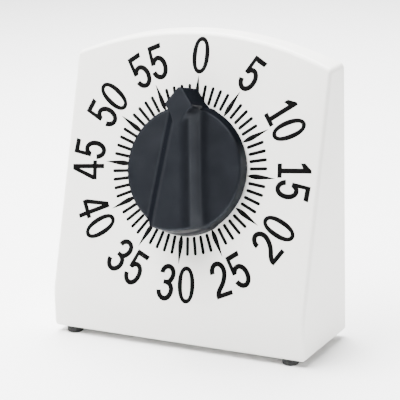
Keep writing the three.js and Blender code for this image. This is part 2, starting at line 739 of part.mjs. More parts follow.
function buildFrame() {
  const frontPlate = clockPlate(MAIN_BORE, PIVOT_RADIUS + RUNNING_GAP, movementScrewPlaces());
  const backPlate = clockPlate(MAIN_PIVOT_RADIUS + RUNNING_GAP, TRAIN_BORE, [BELL_CENTRE]);
  placeInside('shaft_bushing', shaftBushing(), BRASS, [0, 0], 0);
  placeInside('front_plate', frontPlate, STEEL, [0, 0], LAYERS_DEPTH);
  placeInside('back_plate', backPlate, STEEL, [0, 0], BACK_OF_PLATES);
  for (const [where, centre] of pillarPlaces()) {
    placeInside(`plate_pillar_${where}`, pillar(), BRASS, centre, BACK_PLATE_DEPTH - SEAT_GAP);
    const fastener = screw(PLATE_SCREW).rotateX(Math.PI);
    placeInside(`pillar_screw_${where}`, fastener, STEEL, centre, BACK_OF_PLATES + SEAT_GAP);
  }
  movementScrewPlaces().forEach((centre, i) => {
    const fastener = screw(PLATE_SCREW).rotateX(Math.PI);
    placeInside(`movement_screw_${i + 1}`, fastener, STEEL, centre, LAYERS_DEPTH + SEAT_GAP);
  });
}

// ---------------------------------------------------------------- gear train

function involute(angle) {
  return Math.tan(angle) - angle;
}

// Half of a tooth's angle at a radius, from its thickness at the pitch circle.
function toothHalfAngle(radius, teeth, module) {
  const pitch = (teeth * module) / 2;
  const base = pitch * Math.cos(PRESSURE_ANGLE);
  const atPitch = Math.PI / (2 * teeth) - TOOTH_THINNING / (2 * pitch);
  const flank = Math.acos(Math.min(base / radius, 1));
  return atPitch + involute(PRESSURE_ANGLE) - involute(flank);
}

// Outline of a gear whose first tooth points along +X, with each flank as straight steps.
function gearOutline(teeth, module, flankSteps) {
  const pitch = (teeth * module) / 2;
  const root = pitch - DEDENDUM * module;
  const start = Math.max(root, pitch * Math.cos(PRESSURE_ANGLE));
  const tip = pitch + ADDENDUM * module;
  const flank = [[root, toothHalfAngle(start, teeth, module)]];
  for (let i = 0; i <= flankSteps; i += 1) {
    const radius = start + ((tip - start) * i) / flankSteps;
    if (radius > root + 0.01) flank.push([radius, toothHalfAngle(radius, teeth, module)]);
  }
  const outline = [];
  for (let tooth = 0; tooth < teeth; tooth += 1) {
    const middle = (tooth * 2 * Math.PI) / teeth;
    for (const [radius, half] of flank) outline.push(polar(radius, middle - half));
    for (const [radius, half] of [...flank].reverse()) outline.push(polar(radius, middle + half));
  }
  return outline;
}

// Openings between the spokes of a wheel.
function spokeWindows(hub, rim) {
  const windows = [];
  const outer = Math.asin(SPOKE_WIDTH / (2 * rim));
  const inner = Math.asin(SPOKE_WIDTH / (2 * hub));
  for (let i = 0; i < SPOKE_COUNT; i += 1) {
    const start = (i * 2 * Math.PI) / SPOKE_COUNT;
    const end = ((i + 1) * 2 * Math.PI) / SPOKE_COUNT;
    windows.push([
      ...arcPoints([0, 0], rim, start + outer, end - outer, 6),
      ...arcPoints([0, 0], hub, end - inner, start + inner, 2),
    ]);
  }
  return windows;
}

function gearWheel({ wheel, module }, bore) {
  const pitch = (wheel * module) / 2;
  const rim = pitch - DEDENDUM * module - WHEEL_RIM_WIDTH;
  const hub = bore + WHEEL_HUB_WIDTH;
  return prism(gearOutline(wheel, module, 1), WHEEL_THICKNESS, [
    circlePoints([0, 0], bore, SMALL_SIDES),
    ...spokeWindows(hub, rim),
  ]);
}

// Arbor between the plates, on a pivot at each end. Its z = 0 is at the back of the front plate.
function arbor() {
  const bodyEnd = SEAT_GAP - PLATE_SPACING;
  const pivotEnd = -PLATE_SPACING - PLATE_THICKNESS;
  return turned([
    [0, pivotEnd],
    [PIVOT_RADIUS, pivotEnd],
    [PIVOT_RADIUS, bodyEnd],
    [TRAIN_ARBOR_RADIUS, bodyEnd],
    [TRAIN_ARBOR_RADIUS, -SEAT_GAP],
    [PIVOT_RADIUS, -SEAT_GAP],
    [PIVOT_RADIUS, PLATE_THICKNESS],
    [0, PLATE_THICKNESS],
  ], PIN_SIDES);
}

// Arbor with the pinion that a wheel in the given layer drives.
function pinionArbor({ pinion, module }, wheelLayer) {
  const teeth = prism(gearOutline(pinion, module, 2), PINION_THICKNESS);
  const middle = -wheelLayer - WHEEL_THICKNESS / 2;
  return combine(arbor(), [teeth.translate(0, 0, middle - PINION_THICKNESS / 2)]);
}

// Turn that puts a gap of the pinion where a tooth of its wheel points, along the line of centres.
function pinionTurn({ pinion }, direction) {
  return direction + Math.PI + Math.PI / pinion;
}

function mainArbor() {
  const bodyEnd = SEAT_GAP - PLATE_SPACING - LAYERS_DEPTH;
  return turned([
    [0, -BACK_OF_PLATES],
    [MAIN_PIVOT_RADIUS, -BACK_OF_PLATES],
    [MAIN_PIVOT_RADIUS, bodyEnd],
    [MAIN_ARBOR_RADIUS, bodyEnd],
    [MAIN_ARBOR_RADIUS, ARBOR_REACH],
    [0, ARBOR_REACH],
  ]);
}

function clutchSpring() {
  return turned([
    [MAIN_BORE, 0],
    [CLUTCH_RADIUS, CLUTCH_CUP],
    [CLUTCH_RADIUS, CLUTCH_CUP + CLUTCH_STRIP],
    [MAIN_BORE, CLUTCH_STRIP],
    [MAIN_BORE, 0],
  ]);
}

function mainspring() {
  const inner = MAIN_BORE + SEAT_GAP;
  const steps = MAINSPRING_TURNS * MAINSPRING_STEPS_PER_TURN;
  const outside = [];
  const inside = [];
  for (let i = 0; i <= steps; i += 1) {
    const along = i / steps;
    const radius = inner + (MAINSPRING_OUTER_RADIUS - MAINSPRING_STRIP - inner) * along;
    const angle = along * MAINSPRING_TURNS * 2 * Math.PI;
    outside.push(polar(radius + MAINSPRING_STRIP, angle));
    inside.push(polar(radius, angle));
  }
  return prism([...outside, ...inside.reverse()], MAINSPRING_WIDTH);
}

function buildTrain() {
  placeInside('main_arbor', mainArbor(), STEEL, [0, 0], 0);
  const backOfGreatWheel = LAYERS_DEPTH + GREAT_WHEEL_LAYER + WHEEL_THICKNESS;
  const clutchDepth = backOfGreatWheel + SEAT_GAP + CLUTCH_CUP + CLUTCH_STRIP;
  placeInside('clutch_spring', clutchSpring(), SPRING_STEEL, [0, 0], clutchDepth);
  const springDepth = LAYERS_DEPTH + MAINSPRING_LAYER + MAINSPRING_WIDTH;
  placeInside('mainspring', mainspring(), SPRING_STEEL, [0, 0], springDepth);
  const arbors = [
    ['second_arbor', FIRST_MESH, GREAT_WHEEL_LAYER, secondCentre, SECOND_DIRECTION],
    ['third_arbor', SECOND_MESH, SECOND_WHEEL_LAYER, thirdCentre, THIRD_DIRECTION],
    ['escape_arbor', THIRD_MESH, THIRD_WHEEL_LAYER, escapeCentre, ESCAPE_DIRECTION],
  ];
  for (const [name, mesh, layer, centre, direction] of arbors) {
    const turn = pinionTurn(mesh, direction);
    placeInside(name, pinionArbor(mesh, layer), STEEL, centre, LAYERS_DEPTH, turn);
  }
  const wheels = [
    ['great_wheel', FIRST_MESH, MAIN_BORE, GREAT_WHEEL_LAYER, [0, 0], SECOND_DIRECTION],
    ['second_wheel', SECOND_MESH, TRAIN_BORE, SECOND_WHEEL_LAYER, secondCentre, THIRD_DIRECTION],
    ['third_wheel', THIRD_MESH, TRAIN_BORE, THIRD_WHEEL_LAYER, thirdCentre, ESCAPE_DIRECTION],
  ];
  for (const [name, mesh, bore, layer, centre, direction] of wheels) {
    const depth = LAYERS_DEPTH + layer + WHEEL_THICKNESS;
    placeInside(name, gearWheel(mesh, bore), BRASS, centre, depth, direction);
  }
}

// ---------------------------------------------------------------- escapement

function escapeWheel() {
  const root = ESCAPE_RADIUS - ESCAPE_TOOTH_DEPTH;
  const pitch = (2 * Math.PI) / ESCAPE_TEETH;
  const outline = [];
  for (let tooth = 0; tooth < ESCAPE_TEETH; tooth += 1) {
    const start = tooth * pitch;
    outline.push(polar(root, start));
    outline.push(polar(ESCAPE_RADIUS, start + ESCAPE_TIP_START * pitch));
    outline.push(polar(ESCAPE_RADIUS, start + ESCAPE_TIP_END * pitch));
  }
  return prism(outline, PALLET_THICKNESS, [circlePoints([0, 0], TRAIN_BORE, PIN_SIDES)]);
}

// Cut that lets a lever of the given thickness sit on its arbor.
function arborBore(thickness) {
  return rod(TRAIN_BORE, -CUT_MARGIN, thickness + CUT_MARGIN, PIN_SIDES);
}

// Forked lever on the pallet arbor, with the escape wheel's centre straight below it.
function palletLever() {
  const wheelCentre = [0, -PALLET_DISTANCE];
  const tip = ESCAPE_RADIUS + PALLET_CLEARANCE;
  const back = tip + PALLET_LENGTH;
  const parts = [-1, 1].flatMap((side) => {
    const angle = Math.PI / 2 - side * PALLET_SPREAD;
    const pad = [
      offset(wheelCentre, tip, angle),
      offset(wheelCentre, back, angle + PALLET_HALF_ANGLE),
      offset(wheelCentre, back, angle - PALLET_HALF_ANGLE),
    ];
    const outline = THREE.ShapeUtils.area(vectors(pad)) > 0 ? pad : pad.reverse();
    const arm = slotOutline([0, 0], offset(wheelCentre, back - PALLET_ARM_OVERLAP, angle), PALLET_ARM_WIDTH);
    return [prism(outline, PALLET_THICKNESS), prism(arm, PALLET_THICKNESS)];
  });
  const hub = circlePoints([0, 0], LEVER_HUB_RADIUS, SMALL_SIDES);
  return combine(prism(hub, PALLET_THICKNESS), parts, [arborBore(PALLET_THICKNESS)]);
}

// Bar with round ends that slows the rocking of the pallets.
function palletWeight() {
  const half = PALLET_WEIGHT_LENGTH / 2 - PALLET_WEIGHT_END_RADIUS;
  const disc = (x, radius) => prism(circlePoints([x, 0], radius, SMALL_SIDES), WHEEL_THICKNESS);
  const discs = [
    disc(0, LEVER_HUB_RADIUS),
    disc(-half, PALLET_WEIGHT_END_RADIUS),
    disc(half, PALLET_WEIGHT_END_RADIUS),
  ];
  const bar = prism(slotOutline([-half, 0], [half, 0], PALLET_WEIGHT_WIDTH), WHEEL_THICKNESS);
  return combine(bar, discs, [arborBore(WHEEL_THICKNESS)]);
}

function buildEscapement() {
  const depth = LAYERS_DEPTH + ESCAPE_WHEEL_LAYER + PALLET_THICKNESS;
  placeInside('escape_wheel', escapeWheel(), BRASS, escapeCentre, depth);
  placeInside('pallet_arbor', arbor(), STEEL, palletCentre, LAYERS_DEPTH);
  placeInside('pallet_lever', palletLever(), STEEL, palletCentre, depth, PALLET_DIRECTION - Math.PI / 2);
  const weightDepth = LAYERS_DEPTH + PALLET_WEIGHT_LAYER + WHEEL_THICKNESS;
  const weightTurn = PALLET_DIRECTION + Math.PI / 2;
  placeInside('pallet_weight', palletWeight(), BRASS, palletCentre, weightDepth, weightTurn);
}

// ---------------------------------------------------------------- trip cam and lever

function tripCam() {
  const middle = TRIP_NOSE_ANGLE + KNOB_REST_ANGLE / 2;
  const start = middle + CAM_NOTCH_HALF_ANGLE;
  const end = middle - CAM_NOTCH_HALF_ANGLE + 2 * Math.PI;
  const floor = CAM_RADIUS - CAM_NOTCH_DEPTH;
  const outline = [
    ...arcPoints([0, 0], CAM_RADIUS, start, end, 24),
    ...arcPoints([0, 0], floor, end, start + 2 * Math.PI, 3),
  ];
  return prism(outline, CAM_THICKNESS, [circlePoints([0, 0], MAIN_BORE, SMALL_SIDES)]);
}

// Lever whose nose rides just off the cam and whose tail holds back the hammer's finger.
function tripLever() {
  const noseRadius = CAM_RADIUS + TRIP_NOSE_CLEARANCE + TRIP_NOSE_HALF_WIDTH;
  const fromPivot = ([x, y]) => [x - TRIP_PIVOT[0], y - TRIP_PIVOT[1]];
  const nose = fromPivot(polar(noseRadius, TRIP_NOSE_ANGLE));
  const elbow = fromPivot(polar(noseRadius + TRIP_NOSE_LENGTH, TRIP_NOSE_ANGLE));
  const parts = [
    prism(slotOutline(elbow, nose, 2 * TRIP_NOSE_HALF_WIDTH), CAM_THICKNESS),
    prism(slotOutline([0, 0], fromPivot(TRIP_TAIL), FINGER_WIDTH), CAM_THICKNESS),
    prism(circlePoints([0, 0], TRIP_HUB_RADIUS, SMALL_SIDES), CAM_THICKNESS),
  ];
  const arm = prism(slotOutline([0, 0], elbow, TRIP_ARM_WIDTH), CAM_THICKNESS);
  return combine(arm, parts, [arborBore(CAM_THICKNESS)]);
}

function buildTrip() {
  placeInside('trip_cam', tripCam(), BRASS, [0, 0], CAM_DEPTH);
  placeInside('trip_arbor', arbor(), STEEL, TRIP_PIVOT, LAYERS_DEPTH);
  placeInside('trip_lever', tripLever(), STEEL, TRIP_PIVOT, CAM_DEPTH);
}

// ---------------------------------------------------------------- bell and hammer

// Shallow cup, mouth at z = 0 and crown towards -Z, with a hole for its screw.
function bellGong() {
  const rounding = BELL_DEPTH - BELL_LIP_HEIGHT;
  const middle = [BELL_RADIUS - rounding, rounding - BELL_DEPTH];
  const outer = arcPoints(middle, rounding, -Math.PI / 2, 0, 4);
  const inner = arcPoints(middle, rounding - BELL_WALL, 0, -Math.PI / 2, 4);
  return turned([
    [BELL_SCREW_HOLE, -BELL_DEPTH],
    ...outer,
    [BELL_RADIUS, 0],
    [BELL_RADIUS - BELL_WALL, 0],
    ...inner,
    [BELL_SCREW_HOLE, BELL_WALL - BELL_DEPTH],
    [BELL_SCREW_HOLE, -BELL_DEPTH],
  ], BELL_SIDES);
}

function bellPost() {
  const end = SEAT_GAP + BELL_WALL - BELL_STANDOFF - BELL_DEPTH;
  const blind = end + BELL_SCREW.length;
  return turned([
    [0, blind],
    [BELL_SCREW_HOLE, blind],
    [BELL_SCREW_HOLE, end],
    [BELL_POST_RADIUS, end],
    [BELL_POST_RADIUS, -SEAT_GAP],
    [PLATE_SCREW.shank, -SEAT_GAP],
    [PLATE_SCREW.shank, PLATE_THICKNESS],
    [0, PLATE_THICKNESS],
  ], SMALL_SIDES);
}

function hammerArbor() {
  const end = -PLATE_SPACING - PLATE_THICKNESS - HAMMER_ARM_LAYER - HAMMER_ARM_THICKNESS - SEAT_GAP;
  return turned([
    [0, end],
    [TRAIN_ARBOR_RADIUS, end],
    [TRAIN_ARBOR_RADIUS, -SEAT_GAP],
    [PIVOT_RADIUS, -SEAT_GAP],
    [PIVOT_RADIUS, PLATE_THICKNESS],
    [0, PLATE_THICKNESS],
  ], PIN_SIDES);
}

// Middle of the hammer's head, seen from its pivot, standing clear of the side of the bell.
function hammerHeadPlace() {
  const reach = BELL_RADIUS + HAMMER_STANDOFF + HAMMER_HEAD_RADIUS;
  const y = HAMMER_PIVOT[1] - HAMMER_DROP - BELL_CENTRE[1];
  const x = BELL_CENTRE[0] + Math.sqrt(reach ** 2 - y ** 2);
  return [x - HAMMER_PIVOT[0], -HAMMER_DROP];
}

function hammerArm() {
  const head = hammerHeadPlace();
  const holeTop = HAMMER_ARM_THICKNESS + CUT_MARGIN;
  const stemHole = rod(HAMMER_STEM_RADIUS + RUNNING_GAP, -CUT_MARGIN, holeTop, PIN_SIDES);
  const bores = [
    arborBore(HAMMER_ARM_THICKNESS),
    stemHole.translate(...head, 0),
  ];
  return combine(prism(slotOutline([0, 0], head, HAMMER_ARM_WIDTH), HAMMER_ARM_THICKNESS), [], bores);
}

function hammerFinger() {
  const tip = [HAMMER_FINGER_TIP[0] - HAMMER_PIVOT[0], HAMMER_FINGER_TIP[1] - HAMMER_PIVOT[1]];
  const hub = prism(circlePoints([0, 0], LEVER_HUB_RADIUS, SMALL_SIDES), CAM_THICKNESS);
  const finger = prism(slotOutline([0, 0], tip, FINGER_WIDTH), CAM_THICKNESS);
  return combine(finger, [hub], [arborBore(CAM_THICKNESS)]);
}

// Round head behind the arm, with a stem through the arm. Its z = 0 is at the arm's front face.
function hammerHead() {
  const behindArm = -HAMMER_ARM_THICKNESS - SEAT_GAP;
  const end = behindArm - HAMMER_HEAD_LENGTH;
  return turned([
    [0, end],
    [HAMMER_HEAD_RADIUS - HAMMER_HEAD_EDGE, end],
    [HAMMER_HEAD_RADIUS, end + HAMMER_HEAD_EDGE],
    [HAMMER_HEAD_RADIUS, behindArm],
    [HAMMER_STEM_RADIUS, behindArm],
    [HAMMER_STEM_RADIUS, SEAT_GAP],
    [0, SEAT_GAP],
  ], SMALL_SIDES);
}

// Torsion spring round the hammer's arbor, one leg towards the plate's edge and one along the arm.
function hammerSpring() {
  const radius = TRAIN_ARBOR_RADIUS + SEAT_GAP + HAMMER_SPRING_WIRE;
  const rise = HAMMER_SPRING_WIRE * HAMMER_SPRING_PITCH;
  const steps = HAMMER_SPRING_TURNS * HAMMER_SPRING_STEPS_PER_TURN;
  const points = [new THREE.Vector3(radius, -HAMMER_SPRING_LEG, 0)];
  for (let i = 0; i <= steps; i += 1) {
    const turns = i / HAMMER_SPRING_STEPS_PER_TURN;
    points.push(new THREE.Vector3(...polar(radius, turns * 2 * Math.PI), -turns * rise));
  }
  points.push(new THREE.Vector3(radius, HAMMER_SPRING_LEG, -HAMMER_SPRING_TURNS * rise));
  const section = new THREE.Shape(vectors(circlePoints([0, 0], HAMMER_SPRING_WIRE / 2, 5)));
  const extrudePath = new THREE.CatmullRomCurve3(points, false, 'centripetal');
  return cleaned(new THREE.ExtrudeGeometry(section, { steps: 40, extrudePath, bevelEnabled: false }));
}

function buildBell() {
  placeInside('bell_gong', bellGong(), BELL_STEEL, BELL_CENTRE, BELL_MOUTH);
  placeInside('bell_post', bellPost(), STEEL, BELL_CENTRE, BACK_OF_PLATES);
  const bellBack = BELL_MOUTH + BELL_DEPTH + SEAT_GAP;
  placeInside('bell_screw', screw(BELL_SCREW).rotateX(Math.PI), STEEL, BELL_CENTRE, bellBack);
  placeInside('hammer_arbor', hammerArbor(), STEEL, HAMMER_PIVOT, LAYERS_DEPTH);
  placeInside('hammer_arm', hammerArm(), STEEL, HAMMER_PIVOT, HAMMER_ARM_DEPTH + HAMMER_ARM_THICKNESS);
  placeInside('hammer_finger', hammerFinger(), STEEL, HAMMER_PIVOT, CAM_DEPTH);
  const [x, y] = hammerHeadPlace();
  const headCentre = [HAMMER_PIVOT[0] + x, HAMMER_PIVOT[1] + y];
  placeInside('hammer_head', hammerHead(), BRASS, headCentre, HAMMER_ARM_DEPTH);
  const springDepth = BACK_OF_PLATES + SEAT_GAP + HAMMER_SPRING_WIRE / 2;
  placeInside('hammer_spring', hammerSpring(), SPRING_STEEL, HAMMER_PIVOT, springDepth);
}

// ---------------------------------------------------------------- assembly

buildCase();
buildKnob();
buildFrame();
buildTrain();
buildEscapement();
buildTrip();
buildBell();

// Moves the object so that the origin is the middle of the underside of its box.
const box = new THREE.Box3().setFromObject(timer, true);
timer.position.set(-(box.min.x + box.max.x) / 2, -(box.min.y + box.max.y) / 2, -box.min.z);
timer.updateMatrixWorld(true);

export default timer;
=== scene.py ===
"""Looks of a large-dial wind-up kitchen timer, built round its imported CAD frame. Lengths are in metres."""
import json
import math

import bmesh
import bpy
import numpy as np
from mathutils import Matrix, Vector

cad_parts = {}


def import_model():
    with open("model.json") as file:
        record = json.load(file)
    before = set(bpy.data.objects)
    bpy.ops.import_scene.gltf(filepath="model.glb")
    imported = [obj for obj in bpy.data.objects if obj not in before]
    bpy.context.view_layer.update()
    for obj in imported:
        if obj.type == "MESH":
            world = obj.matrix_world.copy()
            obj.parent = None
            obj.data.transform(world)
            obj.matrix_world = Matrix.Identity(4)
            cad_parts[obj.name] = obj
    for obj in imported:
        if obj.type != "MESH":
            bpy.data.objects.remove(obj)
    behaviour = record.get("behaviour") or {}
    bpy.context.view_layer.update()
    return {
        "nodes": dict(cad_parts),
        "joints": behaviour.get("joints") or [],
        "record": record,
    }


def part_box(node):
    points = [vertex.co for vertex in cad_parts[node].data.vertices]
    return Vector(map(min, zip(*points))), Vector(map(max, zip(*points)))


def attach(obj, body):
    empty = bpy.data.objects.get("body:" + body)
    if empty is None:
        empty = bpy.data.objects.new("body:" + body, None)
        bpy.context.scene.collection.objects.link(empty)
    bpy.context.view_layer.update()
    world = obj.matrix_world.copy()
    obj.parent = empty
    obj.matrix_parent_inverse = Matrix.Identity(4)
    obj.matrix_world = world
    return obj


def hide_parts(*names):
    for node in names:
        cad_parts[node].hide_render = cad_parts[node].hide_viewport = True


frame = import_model()

MM = 0.001
X_AXIS = Vector((1, 0, 0))

# ---------------------------------------------------------------- the frame's own places

JOINTS = {joint["name"]: joint for joint in frame["joints"]}
DIAL_CENTRE = Vector(JOINTS["knob_turn"]["pos_m"])
INTO_CASE = Vector(JOINTS["knob_turn"]["axis"])
OUT_OF_FACE = -INTO_CASE
UP_FACE = OUT_OF_FACE.cross(X_AXIS)
FACE_TILT = math.atan2(UP_FACE.y, UP_FACE.z)

# Local axes of the face: X to the right, Y up the slope and Z out of the face, from the dial's centre.
FACE = Matrix.Translation(DIAL_CENTRE) @ Matrix((X_AXIS, UP_FACE, OUT_OF_FACE)).transposed().to_4x4()

CASE_LOW, CASE_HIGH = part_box("front_case")
COVER_LOW, COVER_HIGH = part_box("rear_cover")
CASE_WIDTH = CASE_HIGH.x - CASE_LOW.x
HALF_WIDTH = CASE_WIDTH / 2
CORNERS = ("low_left", "low_right", "high_left", "high_right")
FEET = ("front_left", "front_right", "rear_left", "rear_right")

# ---------------------------------------------------------------- sizes of the mouldings

CASE_WALL = 3 * MM
CASE_EDGE_RADIUS = 2.5 * MM
CASE_REAR_EDGE_RADIUS = 0.6 * MM
CASE_INNER_RADIUS = 0.8 * MM
ARCH_RISE = 17.3 * MM
FRONT_BAND_HEIGHT = 24.6 * MM
FRONT_BLEND_RADIUS = 34 * MM
COVER_GAP = 0.3 * MM
COVER_EDGE_RADIUS = 0.5 * MM
SEAT_STEPS = 32

ARCH_RADIUS = (HALF_WIDTH**2 + ARCH_RISE**2) / (2 * ARCH_RISE)
ARCH_CENTRE = CASE_HIGH.z - ARCH_RADIUS
BAND_TOP = CASE_LOW.z + FRONT_BAND_HEIGHT

SOUND_SLOTS = 7
SOUND_SLOT_LENGTH = 44 * MM
SOUND_SLOT_WIDTH = 3 * MM
SOUND_SLOT_PITCH = 7 * MM
SOUND_SLOT_BOTTOM = 62 * MM
SOUND_SLOT_MIDDLE = -4 * MM

SCREW_HEAD_HEIGHT = 1.7 * MM
SCREW_SLOT_WIDTH = 0.8 * MM
SCREW_SLOT_DEPTH = 0.8 * MM
SCREW_FIRST_TURN = math.radians(25)
SCREW_TURN_STEP = math.radians(40)
SCREW_SHANK_SHARE = 0.45
THREAD_PITCH_SHARE = 0.7
THREAD_CORE_SHARE = 0.8

FOOT_EDGE_RADIUS = 1.2 * MM
FOOT_DISH_DEPTH = 0.25 * MM
FOOT_DISH_SHARE = 0.55
FOOT_RING_SHARE = 0.62
FOOT_NECK_SHARE = 0.42
FOOT_BARB_SHARE = 0.59
FOOT_TIP_SHARE = 0.7

# Knob: reaches are from the dial's centre and heights are out from the face. Its surface is worked out in
# millimetres, so these sizes are in millimetres too.
KNOB_RADIUS = 41.0
KNOB_DRAFT = 1.5
KNOB_GAP = 1.0
KNOB_REST_ANGLE = math.radians(1)
KNOB_SKIN = 2.5
KNOB_HUB_RADIUS = 6.0
KNOB_BORE_RADIUS = 2.65
KNOB_BORE_TOP = 13.3
SKIRT_HEIGHT = 8.0
SKIRT_EDGE = 1.3
SKIRT_CONE = 0.02
BAR_HEIGHT = 22.5
BAR_LEAN = 6.8
BAR_TAIL_HALF_WIDTH = 20.5
BAR_NECK_HALF_WIDTH = 11.2
BAR_NECK_REACH = 36.0
BAR_END_OVERLAP = 1.0
BAR_TAIL_SETBACK = 0.4
BAR_TAIL_EDGE = 1.6
BAR_ROOM_EDGE = 0.5
BAR_ROOM_OVERLAP = 2.0
BAR_EDGE = 4.2
BAR_FOOT_FILLET = 3.6
NOSE_REACH = 50.9
NOSE_DRAFT = 0.9
NOSE_TIP_HALF_WIDTH = 1.5
NOSE_HALF_WIDTH = 10.2
NOSE_NECK_SHARE = 0.72
NOSE_SHOULDER_REACH = 39.6
NOSE_OVERLAP = 6.0
NOSE_EDGE = 0.9
NOSE_FILLET = 2.5
KNOB_MESH_STEP = 0.5
SLOPE_REACH = 0.02
LEAST_STEEPNESS = 0.25

# Printed scale
PRINT_HEIGHT = 0.06 * MM
PRINT_DEPTH = 0.2 * MM
NUMERAL_CIRCLE = 72.2 * MM
NUMERAL_HALF_PITCH = 6.85 * MM
NARROW_HALF_PITCH = 6.1 * MM
STROKE_WIDTH = 3.2
MARK_TIP_RADIUS = 59.4 * MM
MARK_ROOT_RADIUS = 40.8 * MM
MARK_WIDTH = 3.2 * MM
MARK_FOOT_RADIUS = 0.35 * MM
MARK_TIP_HALF_WIDTH = 0.08 * MM
TICK_OUTER_RADIUS = 54.1 * MM
TICK_INNER_RADIUS = 42.1 * MM
TICK_WIDTH = 2.05 * MM
MINUTES = 60
MINUTES_PER_MARK = 5

# Angles between faces from which an edge is drawn sharp
CREASE = math.radians(50)
FINE_CREASE = math.radians(35)
KNOB_CREASE = math.radians(55)

# ---------------------------------------------------------------- materials


class Look:
    """A Principled material whose textures follow the object's own coordinates."""

    def __init__(self, name, metallic=0.0, **constants):
        self.material = bpy.data.materials.new(name)
        self.material.use_nodes = True
        self.tree = self.material.node_tree
        self.shader = self.tree.nodes["Principled BSDF"]
        self.shader.inputs["Metallic"].default_value = metallic
        for socket, value in constants.items():
            self.shader.inputs[socket.replace("_", " ")].default_value = value
        places = self.tree.nodes.new("ShaderNodeTexCoord")
        self.coordinates = places.outputs["Object"]
        self.normals = places.outputs["Normal"]

    def noise(self, scale, detail=2.0, stretch=(1, 1, 1)):
        """Noise with the given number of cells in a metre."""
        mapping = self.tree.nodes.new("ShaderNodeMapping")
        mapping.inputs["Scale"].default_value = stretch
        self.tree.links.new(self.coordinates, mapping.inputs["Vector"])
        node = self.tree.nodes.new("ShaderNodeTexNoise")
        node.inputs["Scale"].default_value = scale
        node.inputs["Detail"].default_value = detail
        self.tree.links.new(mapping.outputs["Vector"], node.inputs["Vector"])
        return node.outputs["Fac"]

    def ramp(self, value, low, high, start=0.3, end=0.7):
        """Colour or brightness that goes from low to high as the value goes from start to end."""
        node = self.tree.nodes.new("ShaderNodeValToRGB")
        first, last = node.color_ramp.elements
        first.position, last.position = start, end
        first.color, last.color = as_colour(low), as_colour(high)
        self.tree.links.new(value, node.inputs["Fac"])
        return node.outputs["Color"]

    def mix(self, factor, first, second):
        node = self.tree.nodes.new("ShaderNodeMix")
        node.data_type = "RGBA"
        self.tree.links.new(factor, node.inputs["Factor"])
        self.tree.links.new(first, node.inputs["A"])
        self.tree.links.new(second, node.inputs["B"])
        return node.outputs["Result"]

    def facing(self, first, second, start, end):
        """Brightness that goes from 0 to 1 as the surface turns towards either of two directions."""
        larger = self.tree.nodes.new("ShaderNodeMath")
        larger.operation = "MAXIMUM"
        for socket, direction in zip(larger.inputs, (first, second)):
            dot = self.tree.nodes.new("ShaderNodeVectorMath")
            dot.operation = "DOT_PRODUCT"
            dot.inputs[1].default_value = direction
            self.tree.links.new(self.normals, dot.inputs[0])
            self.tree.links.new(dot.outputs["Value"], socket)
        return self.ramp(larger.outputs["Value"], 0, 1, start, end)

    def colour(self, value):
        self.tree.links.new(value, self.shader.inputs["Base Color"])

    def roughness(self, value):
        self.tree.links.new(value, self.shader.inputs["Roughness"])

    def shine(self, value):
        self.tree.links.new(value, self.shader.inputs["Specular IOR Level"])

    def bump(self, *layers):
        """Bumps of (height texture, depth in metres), one on top of another."""
        normal = None
        for height, depth in layers:
            node = self.tree.nodes.new("ShaderNodeBump")
            node.inputs["Distance"].default_value = depth
            self.tree.links.new(height, node.inputs["Height"])
            if normal:
                self.tree.links.new(normal, node.inputs["Normal"])
            normal = node.outputs["Normal"]
        self.tree.links.new(normal, self.shader.inputs["Normal"])


def as_colour(value):
    return (*value, 1.0) if hasattr(value, "__len__") else (value, value, value, 1.0)


def case_plastic():
    look = Look("case_white_plastic", Specular_IOR_Level=0.45)
    cloud = look.noise(14, detail=3)
    look.colour(look.ramp(cloud, (0.80, 0.79, 0.755), (0.835, 0.825, 0.79)))
    look.roughness(look.ramp(look.noise(60, detail=4), 0.36, 0.46))
    look.bump((look.noise(1500, detail=3), 0.03 * MM), (look.noise(22, detail=1), 0.06 * MM))
    return look.material


def knob_plastic():
    """Satin moulding. Its walls towards the top and the left carry painted shade: going by their facing they
    get no shine and more roughness, so they stay dark and don't mirror the case.
    """
    look = Look("knob_charcoal_plastic", Specular_Tint=(0.80, 0.87, 1.0, 1.0))
    cloud = look.noise(30, detail=3)
    look.colour(look.ramp(cloud, (0.0034, 0.0039, 0.0053), (0.0044, 0.0051, 0.0067)))
    # Painted shade: surfaces facing up the face or to the left lose their shine, whatever the lamps do.
    painted_shade_facing = look.facing(UP_FACE, -X_AXIS, 0.2, 0.5)
    satin = look.ramp(look.noise(90, detail=4), 0.38, 0.48)
    look.roughness(look.mix(painted_shade_facing, satin, look.ramp(cloud, 0.8, 0.9)))
    look.shine(look.ramp(painted_shade_facing, 0.20, 0.0, 0.0, 1.0))
    look.bump((look.noise(1700, detail=2), 0.025 * MM), (look.noise(45, detail=1), 0.05 * MM))
    return look.material


def dial_ink():
    look = Look("dial_black_ink", Specular_IOR_Level=0.05)
    look.colour(look.ramp(look.noise(500, detail=3), (0.0007, 0.0007, 0.0006), (0.0016, 0.0015, 0.0014)))
    look.roughness(look.ramp(look.noise(900, detail=2), 0.42, 0.56))
    look.bump((look.noise(2500, detail=2), 0.01 * MM))
    return look.material


def foot_rubber():
    look = Look("foot_black_rubber", Specular_IOR_Level=0.3)
    dust = look.noise(350, detail=5)
    look.colour(look.ramp(dust, (0.008, 0.008, 0.008), (0.020, 0.020, 0.019)))
    look.roughness(look.ramp(look.noise(500, detail=3), 0.62, 0.82))
    look.bump((look.noise(3000, detail=3), 0.04 * MM))
    return look.material


def metal(name, dark, light, smooth, rough, brushing=(1, 1, 14)):
    """Worked metal: fine lines across the brushing's long axis, with patches of duller surface."""
    look = Look(name, metallic=1.0)
    lines = look.noise(420, detail=3, stretch=brushing)
    patches = look.noise(140, detail=4)
    look.colour(look.mix(patches, look.ramp(lines, dark, light), look.ramp(patches, dark, light)))
    look.roughness(look.ramp(patches, smooth, rough))
    look.bump((lines, 0.008 * MM))
    return look.material


